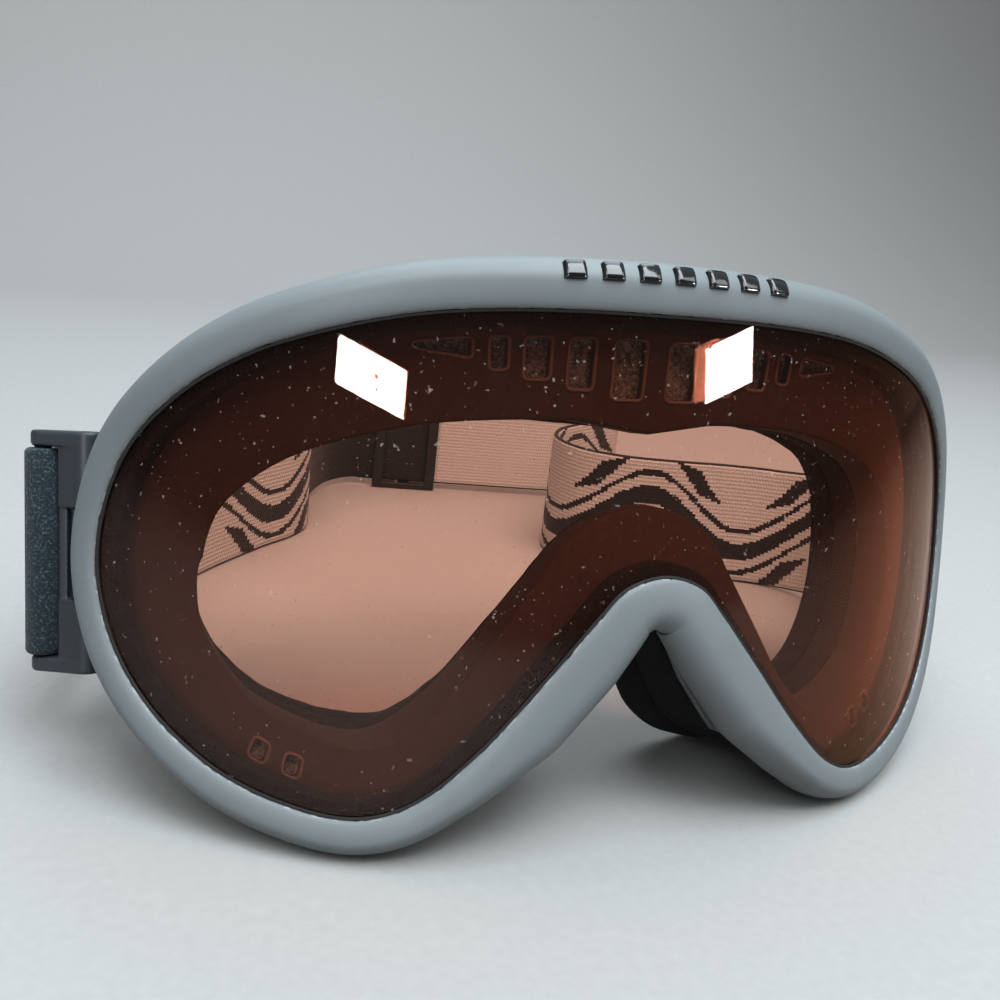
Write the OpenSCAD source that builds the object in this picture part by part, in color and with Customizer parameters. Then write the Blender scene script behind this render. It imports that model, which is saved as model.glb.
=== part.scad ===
// Snow goggles resting on a table: leaned back on the lower rim and the face foam, with the
// elastic strap folded behind them. Millimetres, +Z up, the wearer looks along -Y.

/* [Lens] */
// Radius of the cylinder that the lens is bent to
lens_radius = 130; // [115:1:160]
// Half of the lens width, measured along its curve
lens_half_arc = 95; // [88:1:100]
// Height of the lens above the top of the nose arch
crown_height = 44.5; // [40:0.5:50]
// Drop of the cheek lobes below the top of the nose arch
lobe_drop = 38.3; // [33:0.5:43]
// Distance along the curve from the middle to the lowest point of a lobe
lobe_spread = 48.5; // [46:0.5:53]
// Thickness of the outer lens
outer_lens_t = 1.3; // [1:0.1:1.8]
// Air gap between the two lenses, filled at the edge by the spacer
lens_gap = 2.6; // [2:0.1:3.2]
// Thickness of the inner lens
inner_lens_t = 1; // [0.8:0.1:1.4]
// Width of the foam spacer between the lenses
spacer_width = 3; // [2:0.5:5]

/* [Frame rim] */
// Height of the rounded rim over the brow
rim_brow = 8.4; // [7:0.2:9.4]
// Height of the rounded rim over the nose
rim_nose = 10.8; // [8:0.2:11.4]
// Height of the rounded rim at the temples
rim_temple = 6.2; // [5:0.2:7]
// Height of the rounded rim under the cheeks
rim_cheek = 6.6; // [5.4:0.2:7.4]
// Depth of the rounded rim from front to back
rim_depth = 9.6; // [9:0.2:11]
// Depth of the rounded rim on the inner side of each cheek
rim_inner_depth = 12.6; // [11:0.2:13]
// How far the rim lip reaches over the edge of the lens
lip_cover = 1; // [0.6:0.1:1.5]

/* [Frame walls] */
// Thickness of the plate behind the lens
plate_t = 1.8; // [1.4:0.1:2.4]
// How much further back the plate lies at its inner edge
plate_slope = 2.5; // [1:0.5:4]
// Thickness of the inner wall
wall_t = 1.6; // [1.2:0.1:2.2]
// Thickness of the flange that carries the face foam
flange_t = 1.8; // [1.4:0.1:2.2]
// Width of the plate over the brow
plate_brow = 19; // [18:0.5:21]
// Width of the plate at the temples
plate_temple = 18; // [15:0.5:20]
// Width of the plate under the cheeks
plate_cheek = 10; // [9:0.5:12]
// Width of the plate over the nose
plate_nose = 12; // [11:0.5:14]
// Depth of the inner wall over the brow, from the plate to the face of the flange
wall_brow = 6; // [5:0.5:10]
// Depth of the inner wall at the temples
wall_temple = 7.6; // [6:0.5:12]
// Depth of the inner wall under the cheeks
wall_cheek = 8.4; // [6:0.5:10]
// Depth of the inner wall over the nose
wall_nose = 2.4; // [2.4:0.2:5]
// How far the flange stands out beside the nose
flange_nose = 7; // [4:0.5:8]

/* [Vents] */
// Distance of the vent windows below the edge of the lens
vent_inset = 4.8; // [4:0.1:5.4]
// Height of the tallest vent window, next to the middle
vent_height = 9.6; // [8:0.2:10.4]
// Thickness of the filter foam behind the windows
vent_foam_t = 3; // [2:0.2:3.6]

/* [Face foam] */
// Thickness of the firm foam layer
firm_foam_t = 8; // [5:0.5:10]
// Thickness of the soft foam layer
soft_foam_t = 8; // [5:0.5:10]
// Thickness of the fleece against the face
fleece_t = 1.5; // [1:0.1:2.5]

/* [Outriggers] */
// Diameter of the hinge pin
pin_d = 2; // [1.6:0.1:2.4]
// Radial clearance of the outrigger on its pin
pin_clearance = 0.05; // [0.03:0.01:0.08]
// Diameter of the hinge barrels
barrel_d = 5.2; // [4.8:0.1:5.6]
// Distance from the hinge pin to the strap bar
arm_reach = 8; // [7.8:0.1:9.5]
// Diameter of the strap bar
bar_d = 2.6; // [2.2:0.1:3]
// Height of the knuckle on the frame
knuckle_height = 15.4; // [10:0.2:22]

/* [Strap] */
// Width of the elastic webbing
strap_width = 36; // [30:1:42]
// Thickness of the elastic webbing
strap_t = 1.5; // [1.2:0.1:1.8]
// Length of the sewn loop behind the bar
loop_length = 16; // [14:0.5:20]
// Length of the adjuster along the strap
slider_length = 22; // [18:1:26]
// Travel of the adjuster along the straight stretch of the strap
slider_travel = 20; // [10:1:24]

/* [Brow bars] */
// Width of each raised bar on the brow
brow_bar_width = 3.8; // [2:0.2:5]
// Distance from one raised bar to the next
brow_bar_pitch = 6; // [5.4:0.2:7]

/* [Pose] */
// Angle by which the goggles lean back as they rest on the table
rest_lean = 12; // [10:0.5:14]

/* [Hidden] */

left = -1;
right = 1;
rad = 180 / PI;
foam_gap = 0.2;
gasket_gap = 0.12;
groove_clearance = 0.25;
lens_stack_t = outer_lens_t + lens_gap + inner_lens_t;
plate_d = lens_stack_t + 0.2;

// Stations of the lens edge
// One half of the outline runs from the middle of the brow to the top of the nose arch. Each
// station is [key, u, z]: u along the lens curve, z up from the nose arch, key 0 at the brow,
// 6 at the temple, 11 under the cheek and 17 at the nose.
brow_end = 47;
brow_drop = 2.5;
// Ends of the vent windows along the brow
brow_u = [0, 2.3, 8, 11.6, 16.2, 19.4, 24, 26.8, 30, 33, 44];
function brow_z(u) = crown_height - brow_drop * pow(u / brow_end, 3.2);
side_points = [
    [brow_end, brow_z(brow_end)],
    [0.695 * lens_half_arc, 0.82 * crown_height],
    [0.845 * lens_half_arc, 0.64 * crown_height],
    [0.95 * lens_half_arc, 0.4 * crown_height],
    [lens_half_arc, 0.07 * crown_height],
    [0.975 * lens_half_arc, -0.28 * lobe_drop],
    [0.895 * lens_half_arc, -0.58 * lobe_drop],
    [0.77 * lens_half_arc, -0.82 * lobe_drop],
    [0.635 * lens_half_arc, -0.955 * lobe_drop],
    [lobe_spread, -lobe_drop],
    [0.79 * lobe_spread, -0.91 * lobe_drop],
    [0.585 * lobe_spread, -0.685 * lobe_drop],
    [0.39 * lobe_spread, -0.405 * lobe_drop],
    [0.215 * lobe_spread, -0.145 * lobe_drop],
    [0.125 * lobe_spread, -0.028 * lobe_drop],
    [0, 0.6]
];
steps = 4;
side_count = len(side_points);
function side_point(i) =
    i < 0 ? [brow_u[10], brow_z(brow_u[10])] :
    i >= side_count ? [-side_points[side_count - 2].x, side_points[side_count - 2].y] :
    side_points[i];
function curve(a, b, c, d, t) =
    0.5 * (2 * b + (c - a) * t + (2 * a - 5 * b + 4 * c - d) * t * t
    + (3 * b - a - 3 * c + d) * t * t * t);
half_stations = concat(
    [for (u = brow_u) [2 * u / brow_end, u, brow_z(u)]],
    [for (i = [0:side_count - 2], k = [0:steps - 1])
        let (p = curve(side_point(i - 1), side_point(i), side_point(i + 1),
            side_point(i + 2), k / steps))
        [2 + i + k / steps, p.x, p.y]],
    [[1 + side_count, 0, side_points[side_count - 1].y]]
);
half_count = len(half_stations);
// The whole edge, clockwise as the wearer's front is seen: right half, then left half mirrored
stations = concat(
    half_stations,
    [for (i = [half_count - 2:-1:1])
        [half_stations[i][0], -half_stations[i][1], half_stations[i][2]]]
);
station_count = len(stations);
function next(i) = (i + 1) % station_count;
function back(i) = (i + station_count - 1) % station_count;
// Unit normal of the edge at station i, in the unrolled lens plane, away from the lens
function edge_normal(i) =
    let (a = stations[back(i)], b = stations[next(i)], v = [b[1] - a[1], b[2] - a[2]])
    [-v.y, v.x] / norm(v);

// A point n outside the lens edge and d behind the lens face: across the lens down to the
// plate, then straight back
function edge_point(i, n, d) =
    let (
        s = stations[i], e = edge_normal(i), u = s[1] + n * e.x, z = s[2] + n * e.y,
        across = min(d, plate_d), r = lens_radius - across, a = u / lens_radius * rad
    )
    [r * sin(a), lens_radius - r * cos(a) + d - across, z];

// Sizes that change around the edge
function rim_height(key) = lookup(key,
    [[0, rim_brow], [2, rim_brow - 0.4], [4.5, (rim_brow + 2 * rim_temple) / 3], [6, rim_temple],
    [10.5, rim_cheek], [12.2, rim_cheek + 0.3], [13, (rim_cheek + rim_nose) / 2],
    [13.5, rim_nose - 0.5], [14.5, rim_nose], [15.25, rim_nose - 1], [15.75, rim_nose - 1],
    [17, rim_nose]]);
function rim_deep(key) = lookup(key,
    [[10.5, rim_depth], [12, rim_inner_depth], [13, rim_inner_depth], [14.5, rim_depth]]);
function plate_width(key) = lookup(key,
    [[0, plate_brow + 1], [0.6, plate_brow - 1], [2, plate_brow - 1], [6, plate_temple],
    [9, plate_cheek + 1], [11, plate_cheek], [13, plate_cheek - 1.5], [15.5, plate_nose - 1],
    [17, plate_nose]]);
function wall_depth(key) = lookup(key,
    [[0, wall_brow], [6, wall_temple], [11, wall_cheek], [13, wall_cheek],
    [15.5, wall_nose + 1], [17, wall_nose]]);
// Outer edge of the flange, inside the lens edge where it is negative
function flange_edge(key) = lookup(key,
    [[0, -5], [4, -4], [6, -2.5], [10, cheek_edge], [11.5, cheek_edge], [12, cheek_edge + 1.6],
    [13, flange_nose], [14, flange_nose], [15.5, flange_nose - 3], [17, flange_nose - 5]]);
function plate_front(key, n) = plate_d - plate_slope * n / plate_width(key);
function plate_back(key, n) = plate_front(key, n) + plate_t;
function flange_depth(key) = plate_back(key, -plate_width(key)) + wall_depth(key);
// Height of each vent window, which falls in steps from the middle to a long triangle
vent_steps = [1.4, 2.9, 4.4];
vent_tip = 0.8;
cheek_vent = 3.4;
cheek_vent_inset = 3;
function vent_low(key) = lookup(key,
    [[0.36, vent_height], [0.4, vent_height - vent_steps[0]], [0.72, vent_height - vent_steps[0]],
    [0.78, vent_height - vent_steps[1]], [1.05, vent_height - vent_steps[1]],
    [1.1, vent_height - vent_steps[2]], [1.3, vent_height - vent_steps[2]],
    [1.38, cheek_vent], [1.88, vent_tip], [2, vent_tip], [8, cheek_vent], [10.5, cheek_vent],
    [12, vent_tip]]);
function vent_top(key) = lookup(key, [[2, vent_inset], [8, cheek_vent_inset]]);

// Closed skin around a ring of sections, or along an open row of them with end caps
function quad(a, b, c, d) = [[a, c, b], [a, d, c]];
function flatten(l) = [for (a = l) each a];
// Faces of a closed tube of count + 1 sections with m points each
function tube_faces(count, m) = concat(
    flatten([for (i = [0:count - 1], j = [0:m - 1])
        quad(i * m + j, (i + 1) * m + j, (i + 1) * m + (j + 1) % m, i * m + (j + 1) % m)]),
    [for (j = [1:m - 2]) [0, j + 1, j]],
    [for (j = [1:m - 2]) [count * m, count * m + j, count * m + j + 1]]
);

// The frame
// The rim swells from a thin lip over the lens edge to its front, at -90 degrees, and then rounds
// off over its outer side to the back
rim_front = 1.6;
lip_t = 0.35;
lip_steps = 4;
rim_steps = 11;
rim_turn = 154;
function rim_angle(k) =
    k < lip_steps ? -180 + 90 * k / lip_steps :
    -90 + rim_turn * (k - lip_steps) / (rim_steps - lip_steps);
function rim_point(key, a, proud = 0) =
    let (h = rim_height(key), d = rim_deep(key), lip = groove_clearance + lip_t,
        rise = a < -90 ? rim_front - lip : d / 2, middle = rise - rim_front)
    [h / 2 - lip_cover + (h / 2 + proud) * cos(a), middle + (rise + proud) * sin(a)];
function frame_section(key) =
    let (
        w = plate_width(key), d = flange_depth(key), e = flange_edge(key),
        top = -vent_top(key), low = top - vent_low(key)
    )
    concat(
        [[-lip_cover, -groove_clearance]],
        [for (k = [0:rim_steps]) rim_point(key, rim_angle(k))],
        [
            [0.4, plate_back(key, 0.4)],
            [top, plate_back(key, top)],
            [low, plate_back(key, low)],
            [wall_t - w, plate_back(key, wall_t - w)],
            [wall_t - w, d - flange_t],
            [e, d - flange_t],
            [e, d],
            [-w, d],
            [-w, plate_front(key, -w)],
            [low, plate_front(key, low)],
            [top, plate_front(key, top)],
            [groove_clearance, plate_d],
            [groove_clearance, -groove_clearance]
        ]
    );
section_rows = 2 + rim_steps + 13;
row_top_back = rim_steps + 3;
row_low_back = row_top_back + 1;
row_low_front = row_top_back + 8;
row_top_front = row_low_front + 1;
// Vent windows lie in every second stretch of the brow, and in two stretches of each cheek
function vent_at(i) =
    let (j = i < half_count - 1 ? i : station_count - 1 - i, key = half_stations[j][0])
    (j < 10 && j % 2 == 1) || key == 9.25 || key == 9.75;
module frame_body() {
    m = section_rows;
    points = [for (i = [0:station_count - 1])
        each [for (q = frame_section(stations[i][0])) edge_point(i, q.x, q.y)]];
    function at(i, j) = i * m + j % m;
    function window(i) = let (k = next(i))
        concat(
            quad(at(i, row_top_back), at(k, row_top_back), at(k, row_top_front),
                at(i, row_top_front)),
            quad(at(k, row_top_back), at(k, row_low_back), at(k, row_low_front),
                at(k, row_top_front)),
            quad(at(k, row_low_back), at(i, row_low_back), at(i, row_low_front),
                at(k, row_low_front)),
            quad(at(i, row_low_back), at(i, row_top_back), at(i, row_top_front),
                at(i, row_low_front))
        );
    faces = flatten([for (i = [0:station_count - 1]) concat(
        flatten([for (j = [0:m - 1])
            if (!(vent_at(i) && (j == row_top_back || j == row_low_front)))
                quad(at(i, j), at(next(i), j), at(next(i), j + 1), at(i, j + 1))]),
        vent_at(i) ? window(i) : []
    )]);
    polyhedron(points, faces);
}

// A ring all round the lens edge with the section that a function of the key gives
module edge_ring(sections) {
    m = len(sections[0]);
    points = [for (i = [0:station_count - 1]) each [for (q = sections[i]) edge_point(i, q.x, q.y)]];
    faces = flatten([for (i = [0:station_count - 1], j = [0:m - 1])
        quad(i * m + j, next(i) * m + j, next(i) * m + (j + 1) % m, i * m + (j + 1) % m)]);
    polyhedron(points, faces);
}
// A strip along the edge between two stations, closed at both ends
module edge_strip(from, to, sections) {
    count = to - from;
    points = [for (i = [0:count]) each [for (q = sections[i])
        edge_point((from + i + station_count) % station_count, q.x, q.y)]];
    polyhedron(points, tube_faces(count, len(sections[0])));
}

// Resting pose: the goggles lean back about the x axis, with the lowest point of the rim at z = 0
// and the back edge of the soft foam just over it
function resting_height(p) = p.z * cos(rest_lean) - p.y * sin(rest_lean);
cheek = search(11, half_stations)[0];
rim_low = min([for (i = [cheek - steps:cheek + steps], k = [0:rim_steps])
    let (q = rim_point(stations[i][0], rim_angle(k)))
    resting_height(edge_point(i, q.x, q.y))]);
foam_low = resting_height(edge_point(cheek, 0, flange_depth(11) + firm_foam_t + soft_foam_t));
foam_overhang = 0.6;
soft_draw = 0.8;
foam_seat = 0.3;
cheek_edge = (foam_low - rim_low) / cos(rest_lean) - foam_overhang + soft_draw - foam_seat;
lift = -rim_low;
module resting() {
    translate([0, 0, lift]) rotate([-rest_lean, 0, 0]) children();
}

module frame() {
    color("lightsteelblue") resting() frame_body();
}

// Lenses
// Outline of the sheet whose edge lies n outside the lens edge at depth d, seen from the front
function sheet_outline(n, d) = [for (i = [0:station_count - 1])
    let (p = edge_point(i, n, d)) [p.x, p.z]];
module sheet_prism(n, d) {
    rotate([90, 0, 0]) linear_extrude(2 * lens_radius, center = true) polygon(sheet_outline(n, d));
}
module lens_shell(d, t) {
    translate([0, lens_radius, -2 * lobe_drop]) difference() {
        cylinder(r = lens_radius - d, h = 4 * lobe_drop, $fn = 180);
        translate([0, 0, -1]) cylinder(r = lens_radius - d - t, h = 4 * lobe_drop + 2, $fn = 180);
    }
}
module front_half() {
    translate([-lens_radius, -1, -lens_radius]) cube([2 * lens_radius, lens_radius, 2 * lens_radius]);
}
module lens_sheet(n, d, t) {
    intersection() {
        lens_shell(d, t);
        sheet_prism(n, d + t);
        front_half();
    }
}
module outer_lens() {
    color("sienna", 0.5) resting() lens_sheet(-0.2, 0, outer_lens_t);
}
module inner_lens() {
    color("peru", 0.4) resting() lens_sheet(-0.4, outer_lens_t + lens_gap, inner_lens_t);
}
module lens_spacer() {
    color("black") resting() intersection() {
        lens_shell(outer_lens_t, lens_gap);
        difference() {
            sheet_prism(-0.4, outer_lens_t + lens_gap);
            sheet_prism(-0.4 - spacer_width, outer_lens_t + lens_gap);
        }
        front_half();
    }
}
gasket_width = 0.8;
gasket_t = 0.7;
module lens_gasket() {
    color("black") resting() edge_ring([for (s = stations) [
        [-lip_cover - gasket_width, -gasket_gap], [-lip_cover - gasket_width, -gasket_t + 0.2],
        [-lip_cover - 0.02, -gasket_t], [-lip_cover - 0.02, -gasket_gap]
    ]]);
}

// Raised bars on the brow, each a patch of skin standing proud of the rim
bars_each_side = 3;
bar_from = -86;
bar_turn = 44;
bar_rows = 4;
bar_proud = 0.7;
bar_root = 0.4;
function brow_point(u, n, d) =
    let (
        v = [brow_end, -3.2 * brow_drop * sign(u) * pow(abs(u) / brow_end, 2.2)] / brow_end,
        e = [-v.y, v.x] / norm(v), a = (u + n * e.x) / lens_radius * rad,
        across = min(d, plate_d), r = lens_radius - across
    )
    [r * sin(a), lens_radius - r * cos(a) + d - across, brow_z(abs(u)) + n * e.y];
module brow_bar(middle) {
    function skin(u, k, proud) =
        let (q = rim_point(2 * abs(u) / brow_end, bar_from + bar_turn * k / bar_rows, proud))
        brow_point(u, q.x, q.y);
    m = 2 * (bar_rows + 1);
    points = [for (u = [middle - brow_bar_width / 2, middle, middle + brow_bar_width / 2])
        each concat([for (k = [0:bar_rows]) skin(u, k, bar_proud)],
            [for (k = [bar_rows:-1:0]) skin(u, k, -bar_root)])];
    polyhedron(points, tube_faces(2, m));
}
module brow_inlay() {
    color("black") resting() for (i = [-bars_each_side:bars_each_side])
        brow_bar(i * brow_bar_pitch);
}

// Filter foam in the channel behind the vent windows
vent_lap = 1;
function vent_foam_section(key, low) =
    let (top = -vent_top(key) + vent_lap)
    [[top, plate_back(key, top) + foam_gap], [top, plate_back(key, top) + vent_foam_t],
        [low, plate_back(key, low) + vent_foam_t], [low, plate_back(key, low) + foam_gap]];
brow_last = 11;
module top_vent_foam() {
    low = -vent_inset - vent_height - vent_lap;
    color("darkslategray") resting() edge_strip(-brow_last, brow_last,
        [for (i = [-brow_last:brow_last])
            vent_foam_section(stations[(i + station_count) % station_count][0], low)]);
}
lower_from = search(9, half_stations)[0];
module lower_vent_foam(side) {
    low = -cheek_vent_inset - cheek_vent - vent_lap;
    first = side > 0 ? lower_from : station_count - lower_from - steps;
    color("darkslategray") resting() edge_strip(first, first + steps,
        [for (i = [first:first + steps]) vent_foam_section(stations[i][0], low)]);
}

// Face foam: three layers on the flange
// The inner side of the foam draws back from the eyes beside and over the nose
firm_draw = 0.3;
fleece_draw = [1.2, 2.2];
function inner_slope(key) = lookup(key,
    [[11.5, 0.02], [12.5, 0.35], [14, 0.42], [15.5, 0.4], [17, 0.36]]);
// Its outer side spreads towards the nose
function outer_slope(key) = lookup(key,
    [[11.5, 0], [12.5, 0.2], [13.5, 0.24], [14.5, 0.14], [15.5, 0.06], [17, 0]]);
function foam_section(key, d0, d1, draw0, draw1) =
    let (a = -plate_width(key), b = flange_edge(key) + foam_overhang, d = flange_depth(key),
        s = inner_slope(key), t = outer_slope(key))
    [[a + draw0 + s * d0, d + d0], [b - draw0 + t * d0, d + d0],
        [b - draw1 + t * d1, d + d1], [a + draw1 + s * d1, d + d1]];
module foam_layer(from, thickness, draw0, draw1) {
    edge_ring([for (s = stations)
        foam_section(s[0], from + foam_gap, from + thickness, draw0, draw1)]);
}
module face_foam_firm() {
    color("dimgray") resting() foam_layer(0, firm_foam_t, 0, firm_draw);
}
module face_foam_soft() {
    color("black") resting() foam_layer(firm_foam_t, soft_foam_t, firm_draw, soft_draw);
}
module face_fleece() {
    color("black") resting()
        foam_layer(firm_foam_t + soft_foam_t, fleece_t, fleece_draw[0], fleece_draw[1]);
}

// Outriggers
// The hinge pin stands behind the temple rim, in the channel of the frame
temple = search(6, half_stations)[0];
temple_plate = edge_point(temple, 0, plate_back(6, 0));
hinge_x = -temple_plate.x - 4.6;
hinge_y = temple_plate.y + 7.2;
arm_angle = 155;
bar_x = hinge_x + arm_reach * cos(arm_angle);
bar_y = hinge_y + arm_reach * sin(arm_angle);
slot_height = strap_width + 0.8;
outrigger_height = slot_height + 5.4;
bore_r = pin_d / 2 + pin_clearance;
knuckle_gap = 0.3;
web_t = 1.4;
arm_width = bar_d + 0.9;
eye_r = bar_d / 2 + 0.7;
web_width = bar_d + 0.4;
module sided(side) {
    if (side == left) children();
    else mirror([1, 0, 0]) children();
}
module centred_cylinder(r, h) {
    cylinder(r = r, h = h, center = true, $fn = 48);
}
module hinge_lug(side) {
    inner = edge_point(temple, -plate_width(6) + wall_t + 4, plate_back(6, 0) + 3);
    color("lightslategray") resting() sided(side) difference() {
        union() {
            translate([hinge_x, hinge_y, 0]) centred_cylinder(barrel_d / 2, knuckle_height);
            linear_extrude(knuckle_height, center = true) polygon([
                [hinge_x + 0.4, hinge_y - barrel_d / 2], [-inner.x, inner.y - 1.5],
                [-inner.x, inner.y + 1.5], [hinge_x + 0.4, hinge_y + barrel_d / 2]
            ]);
        }
        translate([hinge_x, hinge_y, 0]) centred_cylinder(pin_d / 2, knuckle_height + 1);
    }
}
module hinge_pin(side) {
    color("silver") resting() sided(side) translate([hinge_x, hinge_y, 0])
        centred_cylinder(pin_d / 2, outrigger_height - 2);
}
module outrigger(side) {
    barrel_h = (outrigger_height - knuckle_height) / 2 - knuckle_gap;
    arm_h = (outrigger_height - slot_height) / 2;
    arm_root = (bore_r + barrel_d / 2) / 2;
    color("darkslategray") resting() sided(side) translate([hinge_x, hinge_y, 0]) difference() {
        union() {
            for (end = [-1, 1]) {
                translate([0, 0, end * (outrigger_height - barrel_h) / 2])
                    centred_cylinder(barrel_d / 2, barrel_h);
                translate([0, 0, end * (outrigger_height - arm_h) / 2]) rotate(arm_angle)
                    linear_extrude(arm_h, center = true) {
                        translate([arm_root, -arm_width / 2]) square([arm_reach - arm_root, arm_width]);
                        translate([arm_reach, 0]) circle(eye_r, $fn = 48);
                    }
            }
            rotate(arm_angle) translate([arm_reach, 0, 0])
                centred_cylinder(bar_d / 2, outrigger_height - arm_h);
            rotate(arm_angle) translate([barrel_d / 2 + knuckle_gap, -web_width / 2,
                (arm_h - outrigger_height) / 2]) cube([web_t, web_width, outrigger_height - arm_h]);
        }
        centred_cylinder(bore_r, outrigger_height + 1);
    }
}

// Strap
// The loop is sewn round the strap bar, and its tail leads back at the heading of its side
bar_clearance = 0.2;
function heading(side) = side == left ? 17 : -14;
module strap_loop(side) {
    r0 = bar_d / 2 + bar_clearance;
    r1 = r0 + strap_t;
    color("darkslategray") resting() sided(side) translate([bar_x, bar_y, 0])
        rotate(-heading(side)) linear_extrude(strap_width, center = true) difference() {
            union() {
                circle(r1, $fn = 48);
                polygon([[-r1, 0], [r1, 0], [strap_t, 11], [strap_t, loop_length],
                    [-strap_t, loop_length], [-strap_t, 11]]);
            }
            circle(r0, $fn = 48);
            polygon([[-r0, 0], [r0, 0], [0.05, 10], [-0.05, 10]]);
        }
}
module loop_stitching(side) {
    color("black") resting() sided(side) translate([bar_x, bar_y, 0]) rotate(-heading(side))
        for (face = [-1, 1], row = [0:2])
            translate([face * (strap_t + 0.15), loop_length - 1.5 - 1.2 * row, 0])
                cube([0.3, 0.6, strap_width - 3], center = true);
}

// Route of the strap behind the goggles: [x, y, height of the lower edge, lean]
function posed(p) = [p.x, p.y * cos(rest_lean) + p.z * sin(rest_lean),
    -p.y * sin(rest_lean) + p.z * cos(rest_lean) + lift];
function loop_tail(side, past) =
    let (a = heading(side), reach = loop_length + past, p = posed([
        -side * (bar_x + reach * sin(a)), bar_y + reach * cos(a), -strap_width / 2]))
    [p.x, p.y, p.z, rest_lean];
slider_rail = 2;
slider_clearance = 0.3;
slider_lift = slider_rail + slider_clearance;
// The adjuster rides on a straight stretch, with room for its travel and for the bend after it
straight_start = [0, 207];
straight_angle = -12;
slider_start = slider_length / 2 + 0.5;
straight_length = slider_length + slider_travel + 15;
bend_run = 8;
function straight_point(s) = [
    straight_start.x + s * cos(straight_angle), straight_start.y + s * sin(straight_angle),
    slider_lift, 0];
sewn_gap = 0.3;
route = [
    loop_tail(left, sewn_gap), loop_tail(left, 8), [-80, 98, 4.5, 6], [-66, 122, 0, 0],
    [-48, 142, 0, 0], [-36, 153, 0, 0], [-30.5, 162, 0, 0], [-29, 174, 0, 0],
    [-26, 188, 1, 0], [-18, 202, 2, 0], straight_point(-bend_run),
    straight_point(0), straight_point(straight_length / 2), straight_point(straight_length),
    straight_point(straight_length + bend_run), [74, 188.5, 2, 0], [79, 180, 0, 0],
    [76, 171, 0, 0],
    [67, 165.5, 0, 0], [56, 159, 0, 0], [46, 151, 0, 0], [41, 140, 0, 0], [44, 128, 0, 0],
    [54, 120, 0, 0], [68, 115.5, 0, 0], [84, 112, 0, 0], [98, 106.5, 0, 0],
    [106, 96, 1.5, 2], [107, 82, 5, 7], loop_tail(right, 8), loop_tail(right, sewn_gap)
];
route_steps = 4;
run_left_end = 3;
run_right_start = 26;
function route_point(i) =
    i < 0 ? 2 * route[0] - route[1] :
    i >= len(route) ? 2 * route[len(route) - 1] - route[len(route) - 2] :
    route[i];
strap_path = concat(
    [for (i = [0:len(route) - 2], k = [0:route_steps - 1])
        curve(route_point(i - 1), route_point(i), route_point(i + 1), route_point(i + 2),
            k / route_steps)],
    [route[len(route) - 1]]
);
function heading_at(i) =
    let (a = strap_path[max(i - 1, 0)], b = strap_path[min(i + 1, len(strap_path) - 1)],
        v = [b.x - a.x, b.y - a.y])
    v / norm(v);
module webbing(from, to) {
    points = [for (i = [from:to]) let (
            p = strap_path[i], v = heading_at(i), side = [-v.y, v.x, 0] * strap_t / 2,
            foot = [p.x, p.y, max(p.z, 0)],
            up = strap_width * [0, sin(p[3]), cos(p[3])]
        ) each [foot + side, foot - side, foot - side + up, foot + side + up]];
    color("whitesmoke") polyhedron(points, tube_faces(to - from, 4));
}
module strap_run_left() {
    webbing(0, run_left_end * route_steps);
}
module strap_back() {
    webbing(run_left_end * route_steps, run_right_start * route_steps);
}
module strap_run_right() {
    webbing(run_right_start * route_steps, len(strap_path) - 1);
}

// Length adjuster: two bars in front of the webbing, one behind it, joined by rails
slider_bar_t = 1.8;
slider_outer_bar = 3.6;
slider_middle_bar = 4.4;
module strap_slider() {
    face = strap_t / 2 + slider_clearance;
    height = strap_width + 2 * slider_lift;
    module bar(x, width, y) {
        translate([x, y, height / 2]) cube([width, slider_bar_t, height], center = true);
    }
    color("black") translate([straight_start.x, straight_start.y, 0]) rotate(straight_angle)
        translate([slider_start, 0, 0]) {
            for (end = [-1, 1])
                bar(end * (slider_length - slider_outer_bar) / 2, slider_outer_bar,
                    -face - slider_bar_t / 2);
            bar(0, slider_middle_bar, face + slider_bar_t / 2);
            for (z = [0, height - slider_rail])
                translate([-slider_length / 2, -face - slider_bar_t, z])
                    cube([slider_length, 2 * (face + slider_bar_t), slider_rail]);
        }
}

frame();
outer_lens();
inner_lens();
lens_spacer();
lens_gasket();
brow_inlay();
top_vent_foam();
lower_vent_foam(left);  // lower_vent_foam_left
lower_vent_foam(right);  // lower_vent_foam_right
face_foam_firm();
face_foam_soft();
face_fleece();
hinge_lug(left);  // hinge_lug_left
hinge_lug(right);  // hinge_lug_right
hinge_pin(left);  // hinge_pin_left
hinge_pin(right);  // hinge_pin_right
outrigger(left);  // outrigger_left
outrigger(right);  // outrigger_right
strap_loop(left);  // strap_loop_left
strap_loop(right);  // strap_loop_right
loop_stitching(left);  // loop_stitching_left
loop_stitching(right);  // loop_stitching_right
strap_run_left();
strap_back();
strap_run_right();
strap_slider();
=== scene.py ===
"""Looks of the snow goggles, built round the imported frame. Sizes are in millimetres in the row
frame until a mesh is made; the functions of the edge repeat those of the part's source."""

import math

import bmesh
import bpy
import numpy as np
from mathutils import Matrix, Quaternion, Vector


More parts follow.
